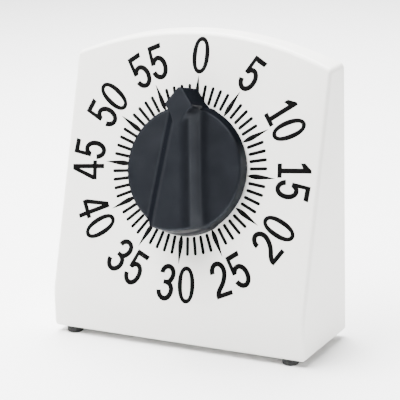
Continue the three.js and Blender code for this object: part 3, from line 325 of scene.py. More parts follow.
LOOKS = {
    "case_plastic": case_plastic(),
    "knob_plastic": knob_plastic(),
    "dial_ink": dial_ink(),
    "foot_rubber": foot_rubber(),
    "steel": metal("bright_steel", (0.50, 0.51, 0.52), (0.62, 0.63, 0.64), 0.22, 0.38),
    "spring_steel": metal("blued_steel", (0.15, 0.18, 0.24), (0.26, 0.30, 0.37), 0.20, 0.36),
    "brass": metal("stamped_brass", (0.58, 0.40, 0.14), (0.74, 0.54, 0.23), 0.20, 0.36),
    "bell_plate": metal("nickel_plate", (0.70, 0.70, 0.69), (0.82, 0.82, 0.81), 0.08, 0.20, (1, 1, 3)),
}

# ---------------------------------------------------------------- mesh helpers


def finished(name, mesh, slot, body, replaced=(), smooth=True):
    """Adds a finished mesh as a piece that rides on a body and stands for CAD nodes."""
    piece = bpy.data.objects.new(name, mesh)
    bpy.context.scene.collection.objects.link(piece)
    mesh.materials.clear()
    mesh.materials.append(LOOKS[slot])
    if smooth:
        mesh.shade_smooth()
    else:
        mesh.shade_flat()
    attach(piece, body)
    if replaced:
        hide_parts(*replaced)
    return piece


def to_mesh(bm, name, matrix=None):
    """Mesh data from a bmesh, moved by a matrix, with its faces pointing out."""
    if matrix:
        bm.transform(matrix)
    bmesh.ops.recalc_face_normals(bm, faces=bm.faces)
    mesh = bpy.data.meshes.new(name)
    bm.to_mesh(mesh)
    bm.free()
    return mesh


def weighted_normals(piece, crease):
    """Keeps flat faces flat beside their rounded edges."""
    piece.data.set_sharp_from_angle(angle=crease)
    modifier = piece.modifiers.new("flat_faces", "WEIGHTED_NORMAL")
    modifier.keep_sharp = True
    modifier.weight = 100


def arc(centre, radius, start, end, steps):
    """Points from one angle to another on a circle, or on an ellipse if there are two radii."""
    across, along = radius if hasattr(radius, "__len__") else (radius, radius)
    angles = [start + (end - start) * i / steps for i in range(steps + 1)]
    return [(centre[0] + across * math.cos(a), centre[1] + along * math.sin(a)) for a in angles]


def circle(centre, radius, steps):
    """Points round a circle, without the last one that would meet the first."""
    return arc(centre, radius, 0, 2 * math.pi, steps)[:-1]


def bezier(first, pull_first, pull_last, last, steps):
    """Points on a cubic curve between two ends, each with its pull."""
    points = []
    for i in range(steps + 1):
        t = i / steps
        weights = ((1 - t) ** 3, 3 * t * (1 - t) ** 2, 3 * t**2 * (1 - t), t**3)
        pulls = zip(weights, (first, pull_first, pull_last, last))
        points.append(tuple(np.sum([w * np.array(p) for w, p in pulls], axis=0)))
    return points


def lathe(profile, steps):
    """Profile of (radius, height) pairs turned round Z, closed where the radius is 0."""
    bm = bmesh.new()
    rings = []
    for radius, height in profile:
        if radius == 0:
            rings.append([bm.verts.new((0, 0, height))])
            continue
        turns = [2 * math.pi * i / steps for i in range(steps)]
        rings.append([bm.verts.new((radius * math.cos(a), radius * math.sin(a), height)) for a in turns])
    for lower, upper in zip(rings, rings[1:]):
        for i in range(steps):
            j = (i + 1) % steps
            corners = [lower[i % len(lower)], lower[j % len(lower)]]
            corners += [upper[j % len(upper)], upper[i % len(upper)]]
            corners = list(dict.fromkeys(corners))
            if len(corners) > 2:
                bm.faces.new(corners)
    return bm


def joined(parts):
    """One bmesh from several."""
    total = bmesh.new()
    for part in parts:
        mesh = bpy.data.meshes.new("part")
        part.to_mesh(mesh)
        part.free()
        total.from_mesh(mesh)
        bpy.data.meshes.remove(mesh)
    return total


def prism(outline, low, high):
    """Outline of (x, y) points raised from one height to another."""
    bm = bmesh.new()
    bottom = [bm.verts.new((x, y, low)) for x, y in outline]
    top = [bm.verts.new((x, y, high)) for x, y in outline]
    bm.faces.new(list(reversed(bottom)))
    bm.faces.new(top)
    for i, vertex in enumerate(bottom):
        j = (i + 1) % len(bottom)
        bm.faces.new((vertex, bottom[j], top[j], top[i]))
    return bm


def boolean(first, second, operation):
    """Exact union or difference of two closed bmeshes."""
    objects = []
    for bm in (first, second):
        objects.append(bpy.data.objects.new("operand", to_mesh(bm, "operand")))
        bpy.context.scene.collection.objects.link(objects[-1])
    modifier = objects[0].modifiers.new("join", "BOOLEAN")
    modifier.object, modifier.operation, modifier.solver = objects[1], operation, "EXACT"
    result = bmesh.new()
    result.from_object(objects[0], bpy.context.evaluated_depsgraph_get())
    for operand in objects:
        bpy.data.meshes.remove(operand.data)
    return result


def flat_plate(outlines, thickness, rounding, name):
    """Plate in XY with holes and rounded edges, from z = 0 up, from its outlines."""
    curve = bpy.data.curves.new(name, "CURVE")
    curve.dimensions, curve.fill_mode = "2D", "BOTH"
    curve.extrude = thickness / 2 - rounding
    curve.bevel_depth, curve.bevel_resolution, curve.offset = rounding, 2, -rounding
    for outline in outlines:
        spline = curve.splines.new("POLY")
        spline.points.add(len(outline) - 1)
        for point, (x, y) in zip(spline.points, outline):
            point.co = (x, y, 0, 1)
        spline.use_cyclic_u = True
    carrier = bpy.data.objects.new(name, curve)
    bpy.context.scene.collection.objects.link(carrier)
    bpy.context.view_layer.update()
    mesh = bpy.data.meshes.new_from_object(carrier.evaluated_get(bpy.context.evaluated_depsgraph_get()))
    bpy.data.objects.remove(carrier)
    bpy.data.curves.remove(curve)
    bm = bmesh.new()
    bm.from_mesh(mesh)
    bpy.data.meshes.remove(mesh)
    bmesh.ops.translate(bm, verts=bm.verts, vec=(0, 0, thickness / 2))
    bmesh.ops.remove_doubles(bm, verts=bm.verts, dist=0.005 * MM)
    return bm


def box_size(node):
    low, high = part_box(node)
    return high - low


def box_middle(node):
    low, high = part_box(node)
    return (low + high) / 2


# ---------------------------------------------------------------- case


def arch_height(x, inset):
    """Height of the arched top at a distance from the middle, moved in by an inset."""
    return ARCH_CENTRE + math.sqrt((ARCH_RADIUS - inset) ** 2 - x**2)


def face_depth(z, inset):
    """Depth of the sloping face at a height, moved in by an inset."""
    return CASE_LOW.y + inset / math.cos(FACE_TILT) + (z - BAND_TOP) * math.tan(FACE_TILT)


def front_section(inset):
    """Points up the front of the case, over the upright band and the curve into the slope."""
    kink = Vector((CASE_LOW.y + inset, BAND_TOP - inset * math.tan(FACE_TILT / 2)))
    radius = FRONT_BLEND_RADIUS + inset
    tangent = radius * math.tan(FACE_TILT / 2)
    centre = kink + Vector((radius, -tangent))
    bend = [Vector(p) for p in arc(centre, radius, math.pi, math.pi - FACE_TILT, 8)]
    return [Vector((kink.x, CASE_LOW.z + inset)), *bend]


def case_skin(inset, columns=56):
    """Open-backed skin of the case: columns from the bottom's rear edge round the front to the top's."""
    bm = bmesh.new()
    half = HALF_WIDTH - inset
    grid = []
    for i in range(columns + 1):
        x = half * (2 * i / columns - 1)
        top = arch_height(x, inset)
        section = [
            Vector((CASE_HIGH.y, CASE_LOW.z + inset)),
            *front_section(inset),
            Vector((face_depth(top, inset), top)),
            Vector((CASE_HIGH.y, top)),
        ]
        grid.append([bm.verts.new((x, y, z)) for y, z in section])
    for left, right in zip(grid, grid[1:]):
        for k in range(len(left) - 1):
            bm.faces.new((left[k], left[k + 1], right[k + 1], right[k]))
    bm.faces.new(grid[0])
    bm.faces.new(reversed(grid[-1]))
    bmesh.ops.recalc_face_normals(bm, faces=bm.faces)
    return bm


def sharp_edges(bm):
    return [e for e in bm.edges if len(e.link_faces) == 2 and e.calc_face_angle(0) > FINE_CREASE]


def round_edges(bm, edges, radius, segments):
    bmesh.ops.bevel(bm, geom=edges, offset=radius, offset_type="OFFSET", segments=segments,
                    profile=0.5, affect="EDGES", clamp_overlap=True)


def case_shell():
    outer = case_skin(0)
    round_edges(outer, sharp_edges(outer), CASE_EDGE_RADIUS, 6)
    inner = case_skin(CASE_WALL)
    round_edges(inner, sharp_edges(inner), CASE_INNER_RADIUS, 2)
    bmesh.ops.reverse_faces(inner, faces=inner.faces)
    shell = joined([outer, inner])
    rims = [e for e in shell.edges if len(e.link_faces) == 1]
    bmesh.ops.bridge_loops(shell, edges=rims)
    outer_edge = HALF_WIDTH - CASE_WALL / 2

    def on_outer_rim(edge):
        middle = (edge.verts[0].co + edge.verts[1].co) / 2
        on_back = min(v.co.y for v in edge.verts) > CASE_HIGH.y - 0.01 * MM
        at_side = abs(middle.x) > outer_edge
        low = middle.z < CASE_LOW.z + CASE_WALL / 2
        high = abs(middle.x) < ARCH_RADIUS and middle.z > arch_height(middle.x, CASE_WALL / 2)
        return on_back and (at_side or low or high)

    round_edges(shell, [e for e in sharp_edges(shell) if on_outer_rim(e)], CASE_REAR_EDGE_RADIUS, 3)
    piece = finished("case_shell", to_mesh(shell, "case_shell"), "case_plastic", "root", ["front_case"])
    weighted_normals(piece, CREASE)


def sound_slot(z):
    half = (SOUND_SLOT_LENGTH - SOUND_SLOT_WIDTH) / 2
    radius = SOUND_SLOT_WIDTH / 2
    left = arc((SOUND_SLOT_MIDDLE - half, z), radius, math.pi / 2, 1.5 * math.pi, 8)
    right = arc((SOUND_SLOT_MIDDLE + half, z), radius, -math.pi / 2, math.pi / 2, 8)
    return left + right


def cover_outline():
    """Outline of the rear cover, which fits inside the case's rim."""
    inset = CASE_WALL + COVER_GAP
    half = HALF_WIDTH - inset
    radius = ARCH_RADIUS - inset
    end = math.acos(half / radius)
    arch = arc((0, ARCH_CENTRE), radius, end, math.pi - end, 48)
    return [(-half, CASE_LOW.z + inset), (half, CASE_LOW.z + inset), *arch]


def rear_cover():
    """Flat back with its sound slots and a round seat for each screw."""
    thickness = COVER_HIGH.y - COVER_LOW.y
    places = [box_middle(f"cover_screw_{corner}") for corner in CORNERS]
    head = box_size("cover_screw_low_left").x / 2
    holes = [circle((p.x, p.z), head + COVER_GAP, SEAT_STEPS) for p in places]
    slots = [sound_slot(SOUND_SLOT_BOTTOM + CASE_LOW.z + i * SOUND_SLOT_PITCH) for i in range(SOUND_SLOTS)]
    plate = flat_plate([cover_outline(), *slots, *holes], thickness, COVER_EDGE_RADIUS, "rear_plate")
    shank = head / 2
    reach = head + 2 * COVER_GAP
    ledge = thickness - SCREW_HEAD_HEIGHT - COVER_GAP
    seats = []
    for place in places:
        seat = lathe([(shank, 0), (reach, 0), (reach, ledge), (shank, ledge), (shank, 0)], SEAT_STEPS)
        bmesh.ops.translate(seat, verts=seat.verts, vec=(place.x, place.z, 0))
        seats.append(seat)
    # The plate's XY plane becomes XZ, with its top facing the back.
    upright = Matrix.Translation((0, COVER_LOW.y, 0)) @ Matrix(((1, 0, 0), (0, 0, 1), (0, 1, 0))).to_4x4()
    mesh = to_mesh(joined([plate, *seats]), "rear_panel", upright)
    piece = finished("rear_panel", mesh, "case_plastic", "root", ["rear_cover"])
    weighted_normals(piece, FINE_CREASE)


# ---------------------------------------------------------------- printed scale


def ribbon(line):
    """Outline of a stroke of even width with square ends along a centre line."""
    points = [Vector(p) for p in line]
    sides = ([], [])
    for i, point in enumerate(points):
        before = (point - points[i - 1]).normalized() if i else None
        after = (points[i + 1] - point).normalized() if i + 1 < len(points) else None
        ways = [way for way in (before, after) if way]
        normals = [Vector((-way.y, way.x)) for way in ways]
        middle = sum(normals, Vector((0, 0))).normalized()
        reach = STROKE_WIDTH / 2 / middle.dot(normals[0])
        sides[0].append(tuple(point + middle * reach))
        sides[1].append(tuple(point - middle * reach))
    return sides[0] + sides[1][::-1]


def in_metres(points):
    return [(x * MM, y * MM) for x, y in points]


def oval(half_width, half_height, power, steps=64):
    """Oval that bulges more than an ellipse where its power is above 2."""
    points = []
    for i in range(steps):
        angle = 2 * math.pi * i / steps
        x, y = math.cos(angle), math.sin(angle)
        points.append((math.copysign(half_width * abs(x) ** (2 / power), x),
                       math.copysign(half_height * abs(y) ** (2 / power), y)))
    return points


def print_solid(outline):
    """Printed solid that stands a little out of the face and reaches into it."""
    return prism(in_metres(outline), -PRINT_DEPTH, PRINT_HEIGHT)


def print_cutter(outline):
    """Solid that cuts right through a printed one."""
    return prism(in_metres(outline), -2 * PRINT_DEPTH, 2 * PRINT_HEIGHT)


def united(outlines):
    """One printed solid from several outlines that overlap."""
    total = print_solid(outlines[0])
    for outline in outlines[1:]:
        total = boolean(total, print_solid(outline), "UNION")
    return total


# Each digit is drawn in millimetres round its own middle.


def digit_0():
    ring = print_solid(oval(5.9, 11.7, 2.1))
    hole = print_cutter(oval(2.8, 8.85, 2.5))
    return boolean(ring, hole, "DIFFERENCE")


def digit_1():
    return print_solid([
        (1.7, 11.35), (-0.2, 11.35), (-4.5, 7.05), (-4.5, 3.95), (-1.4, 5.6), (-1.4, -8.4),
        (-4.4, -8.4), (-4.4, -11.35), (4.4, -11.35), (4.4, -8.4), (1.7, -8.4)])


def digit_2():
    bowl = arc((0, 4.9), (4.05, 5.15), math.radians(184), 0, 28)
    slope = bezier((4.05, 4.9), (4.05, 2.1), (2.2, -1.5), (0.3, -3.5), 10)
    tail = bezier((0.3, -3.5), (-1.7, -5.5), (-4.15, -7.1), (-4.15, -10), 10)
    foot = [(-5.65, -11.3), (5.7, -11.3), (5.7, -8.35), (-5.65, -8.35)]
    return united([ribbon(bowl + slope[1:] + tail[1:]), foot])


def digit_3():
    upper = arc((-0.3, 5.9), (3.95, 4.3), math.radians(186), math.pi / 2, 12)
    upper += arc((-0.3, 5.9), (3.75, 4.3), math.pi / 2, 0, 10)[1:]
    upper += arc((-0.3, 5.9), (3.75, 5.7), 0, -math.pi / 2, 12)[1:]
    lower = arc((-0.2, -4.6), (4.2, 4.8), math.pi / 2, 0, 10)
    lower += arc((-0.2, -4.6), (4.2, 5.65), 0, -math.pi / 2, 12)[1:]
    lower += arc((-0.2, -4.6), (4.55, 5.65), -math.pi / 2, math.radians(-170), 12)[1:]
    bar = [(-2.4, -1.25), (0.4, -1.25), (0.4, 1.6), (-2.4, 1.6)]
    return united([ribbon(upper), ribbon(lower), bar])


def digit_4():
    body = print_solid([
        (3.95, 11.55), (0.45, 11.55), (-6.15, -3), (-6.15, -6.2), (1.05, -6.2), (1.05, -11.5),
        (3.95, -11.5), (3.95, -6.2), (6.15, -6.2), (6.15, -3.25), (3.95, -3.25)])
    window = print_cutter([(1.05, 6.5), (-3.1, -3.25), (1.05, -3.25)])
    return boolean(body, window, "DIFFERENCE")


def digit_5():
    flag = [(5.2, 11.6), (-4.3, 11.6), (-4.95, -0.9), (-2.3, -1.15), (-2.1, 8.3), (4.6, 8.3)]
    bowl = arc((0.2, -3.5), (4.15, 6.2), math.radians(150), 0, 20)
    bowl += arc((0.2, -3.5), (4.15, 6.4), 0, -math.pi / 2, 12)[1:]
    bowl += arc((0.2, -3.5), (4.6, 6.4), -math.pi / 2, math.radians(-165), 12)[1:]
    return united([flag, ribbon(bowl)])


def dial_spot(radius, angle, turn):
    """Matrix to a place on the dial at a clockwise angle from the top, turned anticlockwise there."""
    place = Matrix.Translation((radius * math.sin(angle), radius * math.cos(angle), 0))
    return FACE @ place @ Matrix.Rotation(turn, 4, "Z")


def numeral_places():
    """Digit, angle and whether it stands upside down, for each digit of the scale."""
    for value in range(0, MINUTES, MINUTES_PER_MARK):
        angle = 2 * math.pi * value / MINUTES
        lower_half = MINUTES / 4 < value <= MINUTES * 2 / 3
        digits = str(value)
        half_pitch = NARROW_HALF_PITCH if "1" in digits else NUMERAL_HALF_PITCH
        step = math.asin(half_pitch / NUMERAL_CIRCLE) * (-1 if lower_half else 1)
        for i, digit in enumerate(digits):
            aside = step * (2 * i - 1) if len(digits) == 2 else 0
            yield digit, angle + aside, lower_half


def dial_numerals():
    makers = {"0": digit_0, "1": digit_1, "2": digit_2, "3": digit_3, "4": digit_4, "5": digit_5}
    shapes = {digit: to_mesh(make(), f"digit_{digit}") for digit, make in makers.items()}
    total = bmesh.new()
    for digit, angle, lower_half in numeral_places():
        copy = shapes[digit].copy()
        copy.transform(dial_spot(NUMERAL_CIRCLE, angle, -angle + (math.pi if lower_half else 0)))
        total.from_mesh(copy)
        bpy.data.meshes.remove(copy)
    finished("dial_numerals", to_mesh(total, "dial_numerals"), "dial_ink", "root", smooth=False)


def long_mark():
    """Spear with a sharp outer tip and a rounded inner end."""
    length = MARK_TIP_RADIUS - MARK_ROOT_RADIUS
    belly = length / 3
    side = bezier((MARK_FOOT_RADIUS, MARK_FOOT_RADIUS), (MARK_WIDTH * 0.42, belly * 0.45),
                  (MARK_WIDTH * 0.5, belly * 0.75), (MARK_WIDTH / 2, belly), 6)
    side += bezier((MARK_WIDTH / 2, belly), (MARK_WIDTH * 0.46, belly * 1.5),
                   (MARK_WIDTH * 0.16, length * 0.85), (MARK_TIP_HALF_WIDTH, length), 8)[1:]
    foot = arc((0, MARK_FOOT_RADIUS), MARK_FOOT_RADIUS, math.pi * 1.25, math.pi * 1.75, 4)
    return prism(foot + side + [(-x, y) for x, y in reversed(side)], -PRINT_DEPTH, PRINT_HEIGHT)


def short_mark():
    """Bar with round ends."""
    radius = TICK_WIDTH / 2
    length = TICK_OUTER_RADIUS - TICK_INNER_RADIUS
    low = arc((0, radius), radius, math.pi, 2 * math.pi, 6)
    high = arc((0, length - radius), radius, 0, math.pi, 6)
    return prism(low + high, -PRINT_DEPTH, PRINT_HEIGHT)


def dial_marks(name, make, radius, minutes):
    """Ring of equal marks, one at each of the given minutes."""
    parts = []
    for minute in minutes:
        angle = 2 * math.pi * minute / MINUTES
        mark = make()
        bmesh.ops.transform(mark, matrix=dial_spot(radius, angle, -angle), verts=mark.verts)
        parts.append(mark)
    finished(name, to_mesh(joined(parts), name), "dial_ink", "root", smooth=False)


# ---------------------------------------------------------------- knob
# Its surface is where a field of signed distances in millimetres is zero. The field is negative inside.


def round_and(first, second, radius):
    """Common part of two fields, its outer edge rounded."""
    outside = np.hypot(np.maximum(first + radius, 0), np.maximum(second + radius, 0))
    return np.minimum(-radius, np.maximum(first, second)) + outside


def round_or(first, second, radius):
    """Sum of two fields, its inner corner filled."""
    inside = np.hypot(np.maximum(radius - first, 0), np.maximum(radius - second, 0))
    return np.maximum(radius, np.minimum(first, second)) - inside


def half_plane(x, y, first, last):
    """Field of what lies to the left of the way from one point to another."""
    across, along = last[0] - first[0], last[1] - first[1]
    length = math.hypot(across, along)
    return ((x - first[0]) * along - (y - first[1]) * across) / length


def skirt_field(x, y, z):
    """Round skirt whose side leans in and whose top rises a little towards the middle."""
    radius = np.hypot(x, y)
    draft = KNOB_DRAFT / (SKIRT_HEIGHT - KNOB_GAP)
    side = (radius - KNOB_RADIUS + draft * (z - KNOB_GAP)) / math.hypot(1, draft)
    top = z - SKIRT_HEIGHT - SKIRT_CONE * (KNOB_RADIUS - radius)
    return np.maximum(round_and(side, top, SKIRT_EDGE), KNOB_GAP - z)


def bar_field(x, y, z, inset=0.0, edge=BAR_EDGE):
    """Grip bar with leaning sides that narrow towards the nose."""
    taper = (BAR_TAIL_HALF_WIDTH - BAR_NECK_HALF_WIDTH) / (KNOB_RADIUS + BAR_NECK_REACH)
    lean = BAR_LEAN / (BAR_HEIGHT - SKIRT_HEIGHT)
    foot = BAR_TAIL_HALF_WIDTH - taper * (y + KNOB_RADIUS)
    flank = (np.abs(x) - foot + lean * (z - SKIRT_HEIGHT)) / math.sqrt(1 + taper**2 + lean**2)
    ridge = round_and(flank + inset, z - BAR_HEIGHT + inset, edge)
    draft = KNOB_DRAFT / (BAR_HEIGHT - KNOB_GAP)
    tail = np.hypot(x, y) - KNOB_RADIUS + BAR_TAIL_SETBACK + draft * (z - KNOB_GAP) + inset
    body = round_and(ridge, tail, min(edge, BAR_TAIL_EDGE))
    return np.maximum(body, y - BAR_NECK_REACH - BAR_END_OVERLAP + inset)


def nose_field(x, y, z):
    """Blunt wedge with a shoulder on each side of the bar."""
    aside = np.abs(x)
    reach = y + NOSE_DRAFT * (z - KNOB_GAP) / (BAR_HEIGHT - KNOB_GAP)
    shoulder = (NOSE_HALF_WIDTH, NOSE_SHOULDER_REACH)
    front = half_plane(aside, reach, shoulder, (NOSE_TIP_HALF_WIDTH, NOSE_REACH))
    back = half_plane(aside, y, (NOSE_NECK_SHARE * NOSE_HALF_WIDTH, BAR_NECK_REACH), shoulder)
    wedge = round_and(front, reach - NOSE_REACH, NOSE_EDGE)
    plan = round_and(round_and(wedge, back, NOSE_EDGE), aside - NOSE_HALF_WIDTH, NOSE_EDGE)
    tall = np.maximum(round_and(plan, z - BAR_HEIGHT, NOSE_EDGE), KNOB_GAP - z)
    return np.maximum(tall, BAR_NECK_REACH - NOSE_OVERLAP - y)


def knob_field(x, y, z):
    """The whole knob: skirt, bar and nose, hollow below, with a bored hub in the middle."""
    outside = round_or(skirt_field(x, y, z), bar_field(x, y, z), BAR_FOOT_FILLET)
    outside = round_or(outside, nose_field(x, y, z), NOSE_FILLET)
    outside = np.maximum(outside, z - BAR_HEIGHT)
    ceiling = SKIRT_HEIGHT - KNOB_SKIN
    cup = round_and(np.hypot(x, y) - KNOB_RADIUS + KNOB_DRAFT + KNOB_SKIN, z - ceiling, KNOB_SKIN / 2)
    bar_room = np.maximum(bar_field(x, y, z, KNOB_SKIN, BAR_ROOM_EDGE), ceiling - BAR_ROOM_OVERLAP - z)
    hollow = np.minimum(cup, bar_room)
    hub = np.hypot(x, y) - KNOB_HUB_RADIUS
    bore = np.maximum(np.hypot(x, y) - KNOB_BORE_RADIUS, z - KNOB_BORE_TOP)
    solid = np.maximum(outside, -np.maximum(hollow, -hub))
    return np.maximum(np.maximum(solid, -bore), KNOB_GAP - z)


def net_of(field, low, high, step):
    """Vertices and quads of the surface where a field changes its sign, with one vertex in each cell."""
    axes = [np.arange(a, b + step, step) for a, b in zip(low, high)]
    values = field(*np.meshgrid(*axes, indexing="ij"))
    inside = values < 0
    cells = tuple(n - 1 for n in values.shape)
    total = np.zeros((*cells, 3))
    count = np.zeros(cells)
    crossings = []
    for axis in range(3):
        start = [slice(None)] * 3
        end = [slice(None)] * 3
        start[axis], end[axis] = slice(None, -1), slice(1, None)
        a, b = values[tuple(start)], values[tuple(end)]
        crosses = inside[tuple(start)] != inside[tuple(end)]
        share = np.where(crosses, a / np.where(crosses, a - b, 1), 0)
        crossings.append(crosses)
        others = [k for k in range(3) if k != axis]
        for corner in ((0, 0), (0, 1), (1, 0), (1, 1)):
            window = [slice(None)] * 3
            for other, side in zip(others, corner):
                window[other] = slice(side, side + cells[other])
            hit = crosses[tuple(window)]
            count += hit
            total[..., axis] += np.where(hit, share[tuple(window)], 0)
            for other, side in zip(others, corner):
                total[..., other] += np.where(hit, side, 0)
    used = count > 0
    index = np.full(cells, -1)
    index[used] = np.arange(used.sum())
    places = np.argwhere(used) + total[used] / count[used][:, None]
    vertices = np.array(low) + places * step
    quads = []
    for axis, crosses in enumerate(crossings):
        one, two = [k for k in range(3) if k != axis]
        spots = np.argwhere(crosses)
        spots = spots[(spots[:, one] > 0) & (spots[:, two] > 0)]
        spots = spots[(spots[:, one] < cells[one]) & (spots[:, two] < cells[two])]
        ring = []
        for i, j in ((1, 1), (0, 1), (0, 0), (1, 0)):
            shifted = spots.copy()
            shifted[:, one] -= i
            shifted[:, two] -= j
            ring.append(index[tuple(shifted.T)])
        ring = np.array(ring).T
        flips = inside[tuple(spots.T)] == (axis == 1)
        ring[flips] = ring[flips][:, ::-1]
        quads.append(ring)
    return vertices, np.concatenate(quads)


def gradient(field, points):
    slopes = []
    for axis in range(3):
        shift = np.zeros(3)
        shift[axis] = SLOPE_REACH
        slopes.append((field(*(points + shift).T) - field(*(points - shift).T)) / (2 * SLOPE_REACH))
    return np.array(slopes).T


def drawn_to(field, vertices, quads, rounds=6):
    """Vertices evened out along the surface and drawn onto it."""
    pairs = np.concatenate([quads[:, [i, (i + 1) % 4]] for i in range(4)])
    neighbours = np.bincount(pairs[:, 0], minlength=len(vertices)).astype(float)
    for turn in range(rounds):
        if turn < rounds // 2:
            sums = [np.bincount(pairs[:, 0], vertices[pairs[:, 1], k], len(vertices)) for k in range(3)]
            vertices = (vertices + np.array(sums).T / neighbours[:, None]) / 2
        slope = gradient(field, vertices)
        steepness = np.maximum((slope**2).sum(1), LEAST_STEEPNESS)
        distance = np.clip(field(*vertices.T), -KNOB_MESH_STEP / 2, KNOB_MESH_STEP / 2)
        vertices = vertices - slope * (distance / steepness)[:, None]
    return vertices


def pointer_knob():
    margin = 2 * KNOB_MESH_STEP
    low = (-KNOB_RADIUS - margin, -KNOB_RADIUS - margin, KNOB_GAP - margin)
    high = (KNOB_RADIUS + margin, NOSE_REACH + margin, BAR_HEIGHT + margin)
    vertices, quads = net_of(knob_field, low, high, KNOB_MESH_STEP)
    vertices = drawn_to(knob_field, vertices, quads)
    mesh = bpy.data.meshes.new("pointer_knob")
    mesh.from_pydata(vertices * MM, [], quads.tolist())
    mesh.transform(FACE @ Matrix.Rotation(KNOB_REST_ANGLE, 4, "Z"))
    mesh.update()
    finished("pointer_knob", mesh, "knob_plastic", "knob_body", ["knob"])
    mesh.set_sharp_from_angle(angle=KNOB_CREASE)


# ---------------------------------------------------------------- feet and screws


def foot_pad(where):
    """Rubber foot with a dished pad, a neck through the case's bottom and a barb that holds it there."""
    node = f"foot_{where}"
    low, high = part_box(node)
    radius = (high.x - low.x) / 2
    pad_top = CASE_LOW.z - low.z
    neck = radius * FOOT_NECK_SHARE
    barb_height = pad_top + CASE_WALL + COVER_GAP
    tip_height = high.z - low.z
    edge = FOOT_EDGE_RADIUS
    top_edge = edge / 4
    dish = [(0, FOOT_DISH_DEPTH), (radius * FOOT_DISH_SHARE, FOOT_DISH_DEPTH), (radius * FOOT_RING_SHARE, 0)]
    side = arc((radius - edge, edge), edge, -math.pi / 2, 0, 8)
    side += arc((radius - top_edge, pad_top - top_edge), top_edge, 0, math.pi / 2, 4)
    stem = [(neck, pad_top), (neck, barb_height), (radius * FOOT_BARB_SHARE, barb_height)]
    stem += [(neck * FOOT_TIP_SHARE, tip_height), (0, tip_height)]
    bm = lathe(dish + side + stem, 48)
    middle = (low + high) / 2
    place = Matrix.Translation((middle.x, middle.y, low.z))
    piece = finished(f"rubber_foot_{where}", to_mesh(bm, node, place), "foot_rubber", "root", [node])
    piece.data.set_sharp_from_angle(angle=CREASE)


def screw_solid(head, head_height, shank, length):
    """Slotted pan-head screw that points down, with the underside of its head at z = 0."""
    dome = arc((0, head_height * 0.25), (head, head_height * 0.75), 0, math.pi / 2, 8)[:-1]
    core = shank * THREAD_CORE_SHARE
    pitch = shank * THREAD_PITCH_SHARE
    threads = []
    for i in range(int((length - 3 * shank) / pitch)):
        root = -2 * shank - i * pitch
        threads += [(shank, root + pitch / 2), (core, root)]
    tip = [(core, shank - length), (shank * 0.2, -length), (0, -length)]
    top = [(0, head_height), *reversed(dome), (head, 0), (shank, 0), (shank, -1.5 * shank)]
    slot = prism(
        [(-2 * head, -SCREW_SLOT_WIDTH / 2), (2 * head, -SCREW_SLOT_WIDTH / 2),
         (2 * head, SCREW_SLOT_WIDTH / 2), (-2 * head, SCREW_SLOT_WIDTH / 2)],
        head_height - SCREW_SLOT_DEPTH, 2 * head_height)
    return boolean(lathe(top + threads + tip, 40), slot, "DIFFERENCE")


def cover_screws():
    for number, corner in enumerate(CORNERS):
        node = f"cover_screw_{corner}"
        low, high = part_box(node)
        head = (high.x - low.x) / 2
        length = high.y - low.y - SCREW_HEAD_HEIGHT
        bm = screw_solid(head, SCREW_HEAD_HEIGHT, head * SCREW_SHANK_SHARE, length)
        place = Vector(((low.x + high.x) / 2, high.y - SCREW_HEAD_HEIGHT, (low.z + high.z) / 2))
        turn = Matrix.Rotation(SCREW_FIRST_TURN + SCREW_TURN_STEP * number, 4, "Z")
        matrix = Matrix.Translation(place) @ Matrix.Rotation(-math.pi / 2, 4, "X") @ turn
        piece = finished(f"rear_screw_{corner}", to_mesh(bm, node, matrix), "steel", "root", [node])
        piece.data.set_sharp_from_angle(angle=FINE_CREASE)


# ---------------------------------------------------------------- clockwork


def dress_clockwork():
    """Gives each piece that stays as the CAD made it its finish."""
    for row in frame["record"]["subparts"]:
        node = frame["nodes"][row["node"]]
        if node.hide_render:
            continue
        node.data.materials.clear()
        node.data.materials.append(LOOKS[row["material_slot"]])


# ---------------------------------------------------------------- floor, light and camera

FLOOR_RADIUS = 6.0
VIEW_AZIMUTH = math.radians(27.46)
VIEW_ELEVATION = math.radians(15.72)
VIEW_ROLL = math.radians(-1.559)
VIEW_DISTANCE = 1.0969
VIEW_TARGET = Vector((20.5 * MM, CASE_LOW.y, CASE_LOW.z + 96.3 * MM))
LENS = 161.4
SENSOR_WIDTH = 36
NEAREST_SEEN = 0.01
FARTHEST_SEEN = 100

# How far towards the back, as a share of the distance, the studio walls start and stop growing brighter
WALLS_DARK_UNTIL = -0.2
WALLS_BRIGHT_FROM = 0.6


def paper_floor():
    bm = lathe([(0, 0), (FLOOR_RADIUS, 0)], 96)
    obj = bpy.data.objects.new("floor", to_mesh(bm, "floor"))
    bpy.context.scene.collection.objects.link(obj)
    look = Look("floor_paper", Specular_IOR_Level=0.2)
    look.colour(look.ramp(look.noise(3, detail=2), (0.90, 0.90, 0.90), (0.92, 0.92, 0.92)))
    look.roughness(look.ramp(look.noise(40, detail=2), 0.7, 0.8))
    obj.data.materials.append(look.material)


def direction(azimuth, elevation):
    """Unit vector from the object. Azimuth 0 is in front of the case and grows to the right."""
    level = math.cos(elevation)
    return Vector((math.sin(azimuth) * level, -math.cos(azimuth) * level, math.sin(elevation)))


def softbox(name, azimuth, elevation, distance, width, height, power):
    """Area light that faces the object, with its azimuth and elevation in degrees."""
    light = bpy.data.lights.new(name, "AREA")
    light.shape, light.size, light.size_y = "RECTANGLE", width, height
    light.energy = power
    obj = bpy.data.objects.new(name, light)
    back = direction(math.radians(azimuth), math.radians(elevation))
    obj.location = DIAL_CENTRE + back * distance
    obj.rotation_mode = "QUATERNION"
    obj.rotation_quaternion = back.to_track_quat("Z", "Y")
    bpy.context.scene.collection.objects.link(obj)


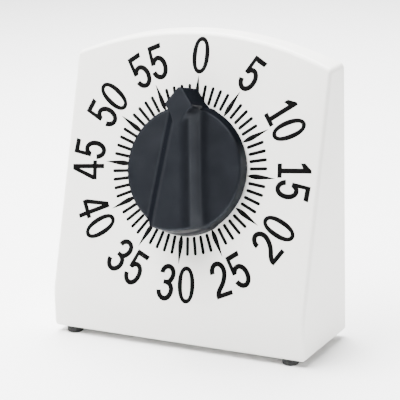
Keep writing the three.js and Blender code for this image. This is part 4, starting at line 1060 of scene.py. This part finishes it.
def world(front, back):
    """Studio walls that grow brighter from the front of the object to the back."""
    made = bpy.data.worlds.new("studio")
    made.use_nodes = True
    tree = made.node_tree
    background = tree.nodes["Background"]
    background.inputs["Color"].default_value = (1, 1, 1, 1)
    places = tree.nodes.new("ShaderNodeTexCoord")
    parts = tree.nodes.new("ShaderNodeSeparateXYZ")
    tree.links.new(places.outputs["Generated"], parts.inputs["Vector"])
    blend = tree.nodes.new("ShaderNodeMapRange")
    blend.interpolation_type = "SMOOTHSTEP"
    blend.inputs["From Min"].default_value = WALLS_DARK_UNTIL
    blend.inputs["From Max"].default_value = WALLS_BRIGHT_FROM
    blend.inputs["To Min"].default_value = front
    blend.inputs["To Max"].default_value = back
    tree.links.new(parts.outputs["Y"], blend.inputs["Value"])
    tree.links.new(blend.outputs["Result"], background.inputs["Strength"])
    bpy.context.scene.world = made


def camera():
    data = bpy.data.cameras.new("view")
    data.lens, data.sensor_width = LENS, SENSOR_WIDTH
    data.clip_start, data.clip_end = NEAREST_SEEN, FARTHEST_SEEN
    obj = bpy.data.objects.new("view", data)
    back = direction(VIEW_AZIMUTH, VIEW_ELEVATION)
    obj.location = VIEW_TARGET + back * VIEW_DISTANCE
    obj.rotation_mode = "QUATERNION"
    level = back.to_track_quat("Z", "Y")
    obj.rotation_quaternion = level @ Matrix.Rotation(VIEW_ROLL, 4, "Z").to_quaternion()
    bpy.context.scene.collection.objects.link(obj)
    bpy.context.scene.camera = obj


# ---------------------------------------------------------------- assembly

camera()
paper_floor()
world(front=0.05, back=0.6)
softbox("key", azimuth=-55, elevation=63, distance=1.0, width=0.9, height=0.9, power=64)
softbox("side", azimuth=100, elevation=7, distance=1.5, width=0.6, height=0.7, power=17)
softbox("rim", azimuth=-158, elevation=58, distance=1.6, width=1.2, height=0.9, power=120)

case_shell()
rear_cover()
dial_numerals()
dial_marks("dial_long_marks", long_mark, MARK_ROOT_RADIUS, range(0, MINUTES, MINUTES_PER_MARK))
dial_marks("dial_short_marks", short_mark, TICK_INNER_RADIUS,
           [minute for minute in range(MINUTES) if minute % MINUTES_PER_MARK])
pointer_knob()
for foot_place in FEET:
    foot_pad(foot_place)
cover_screws()
dress_clockwork()
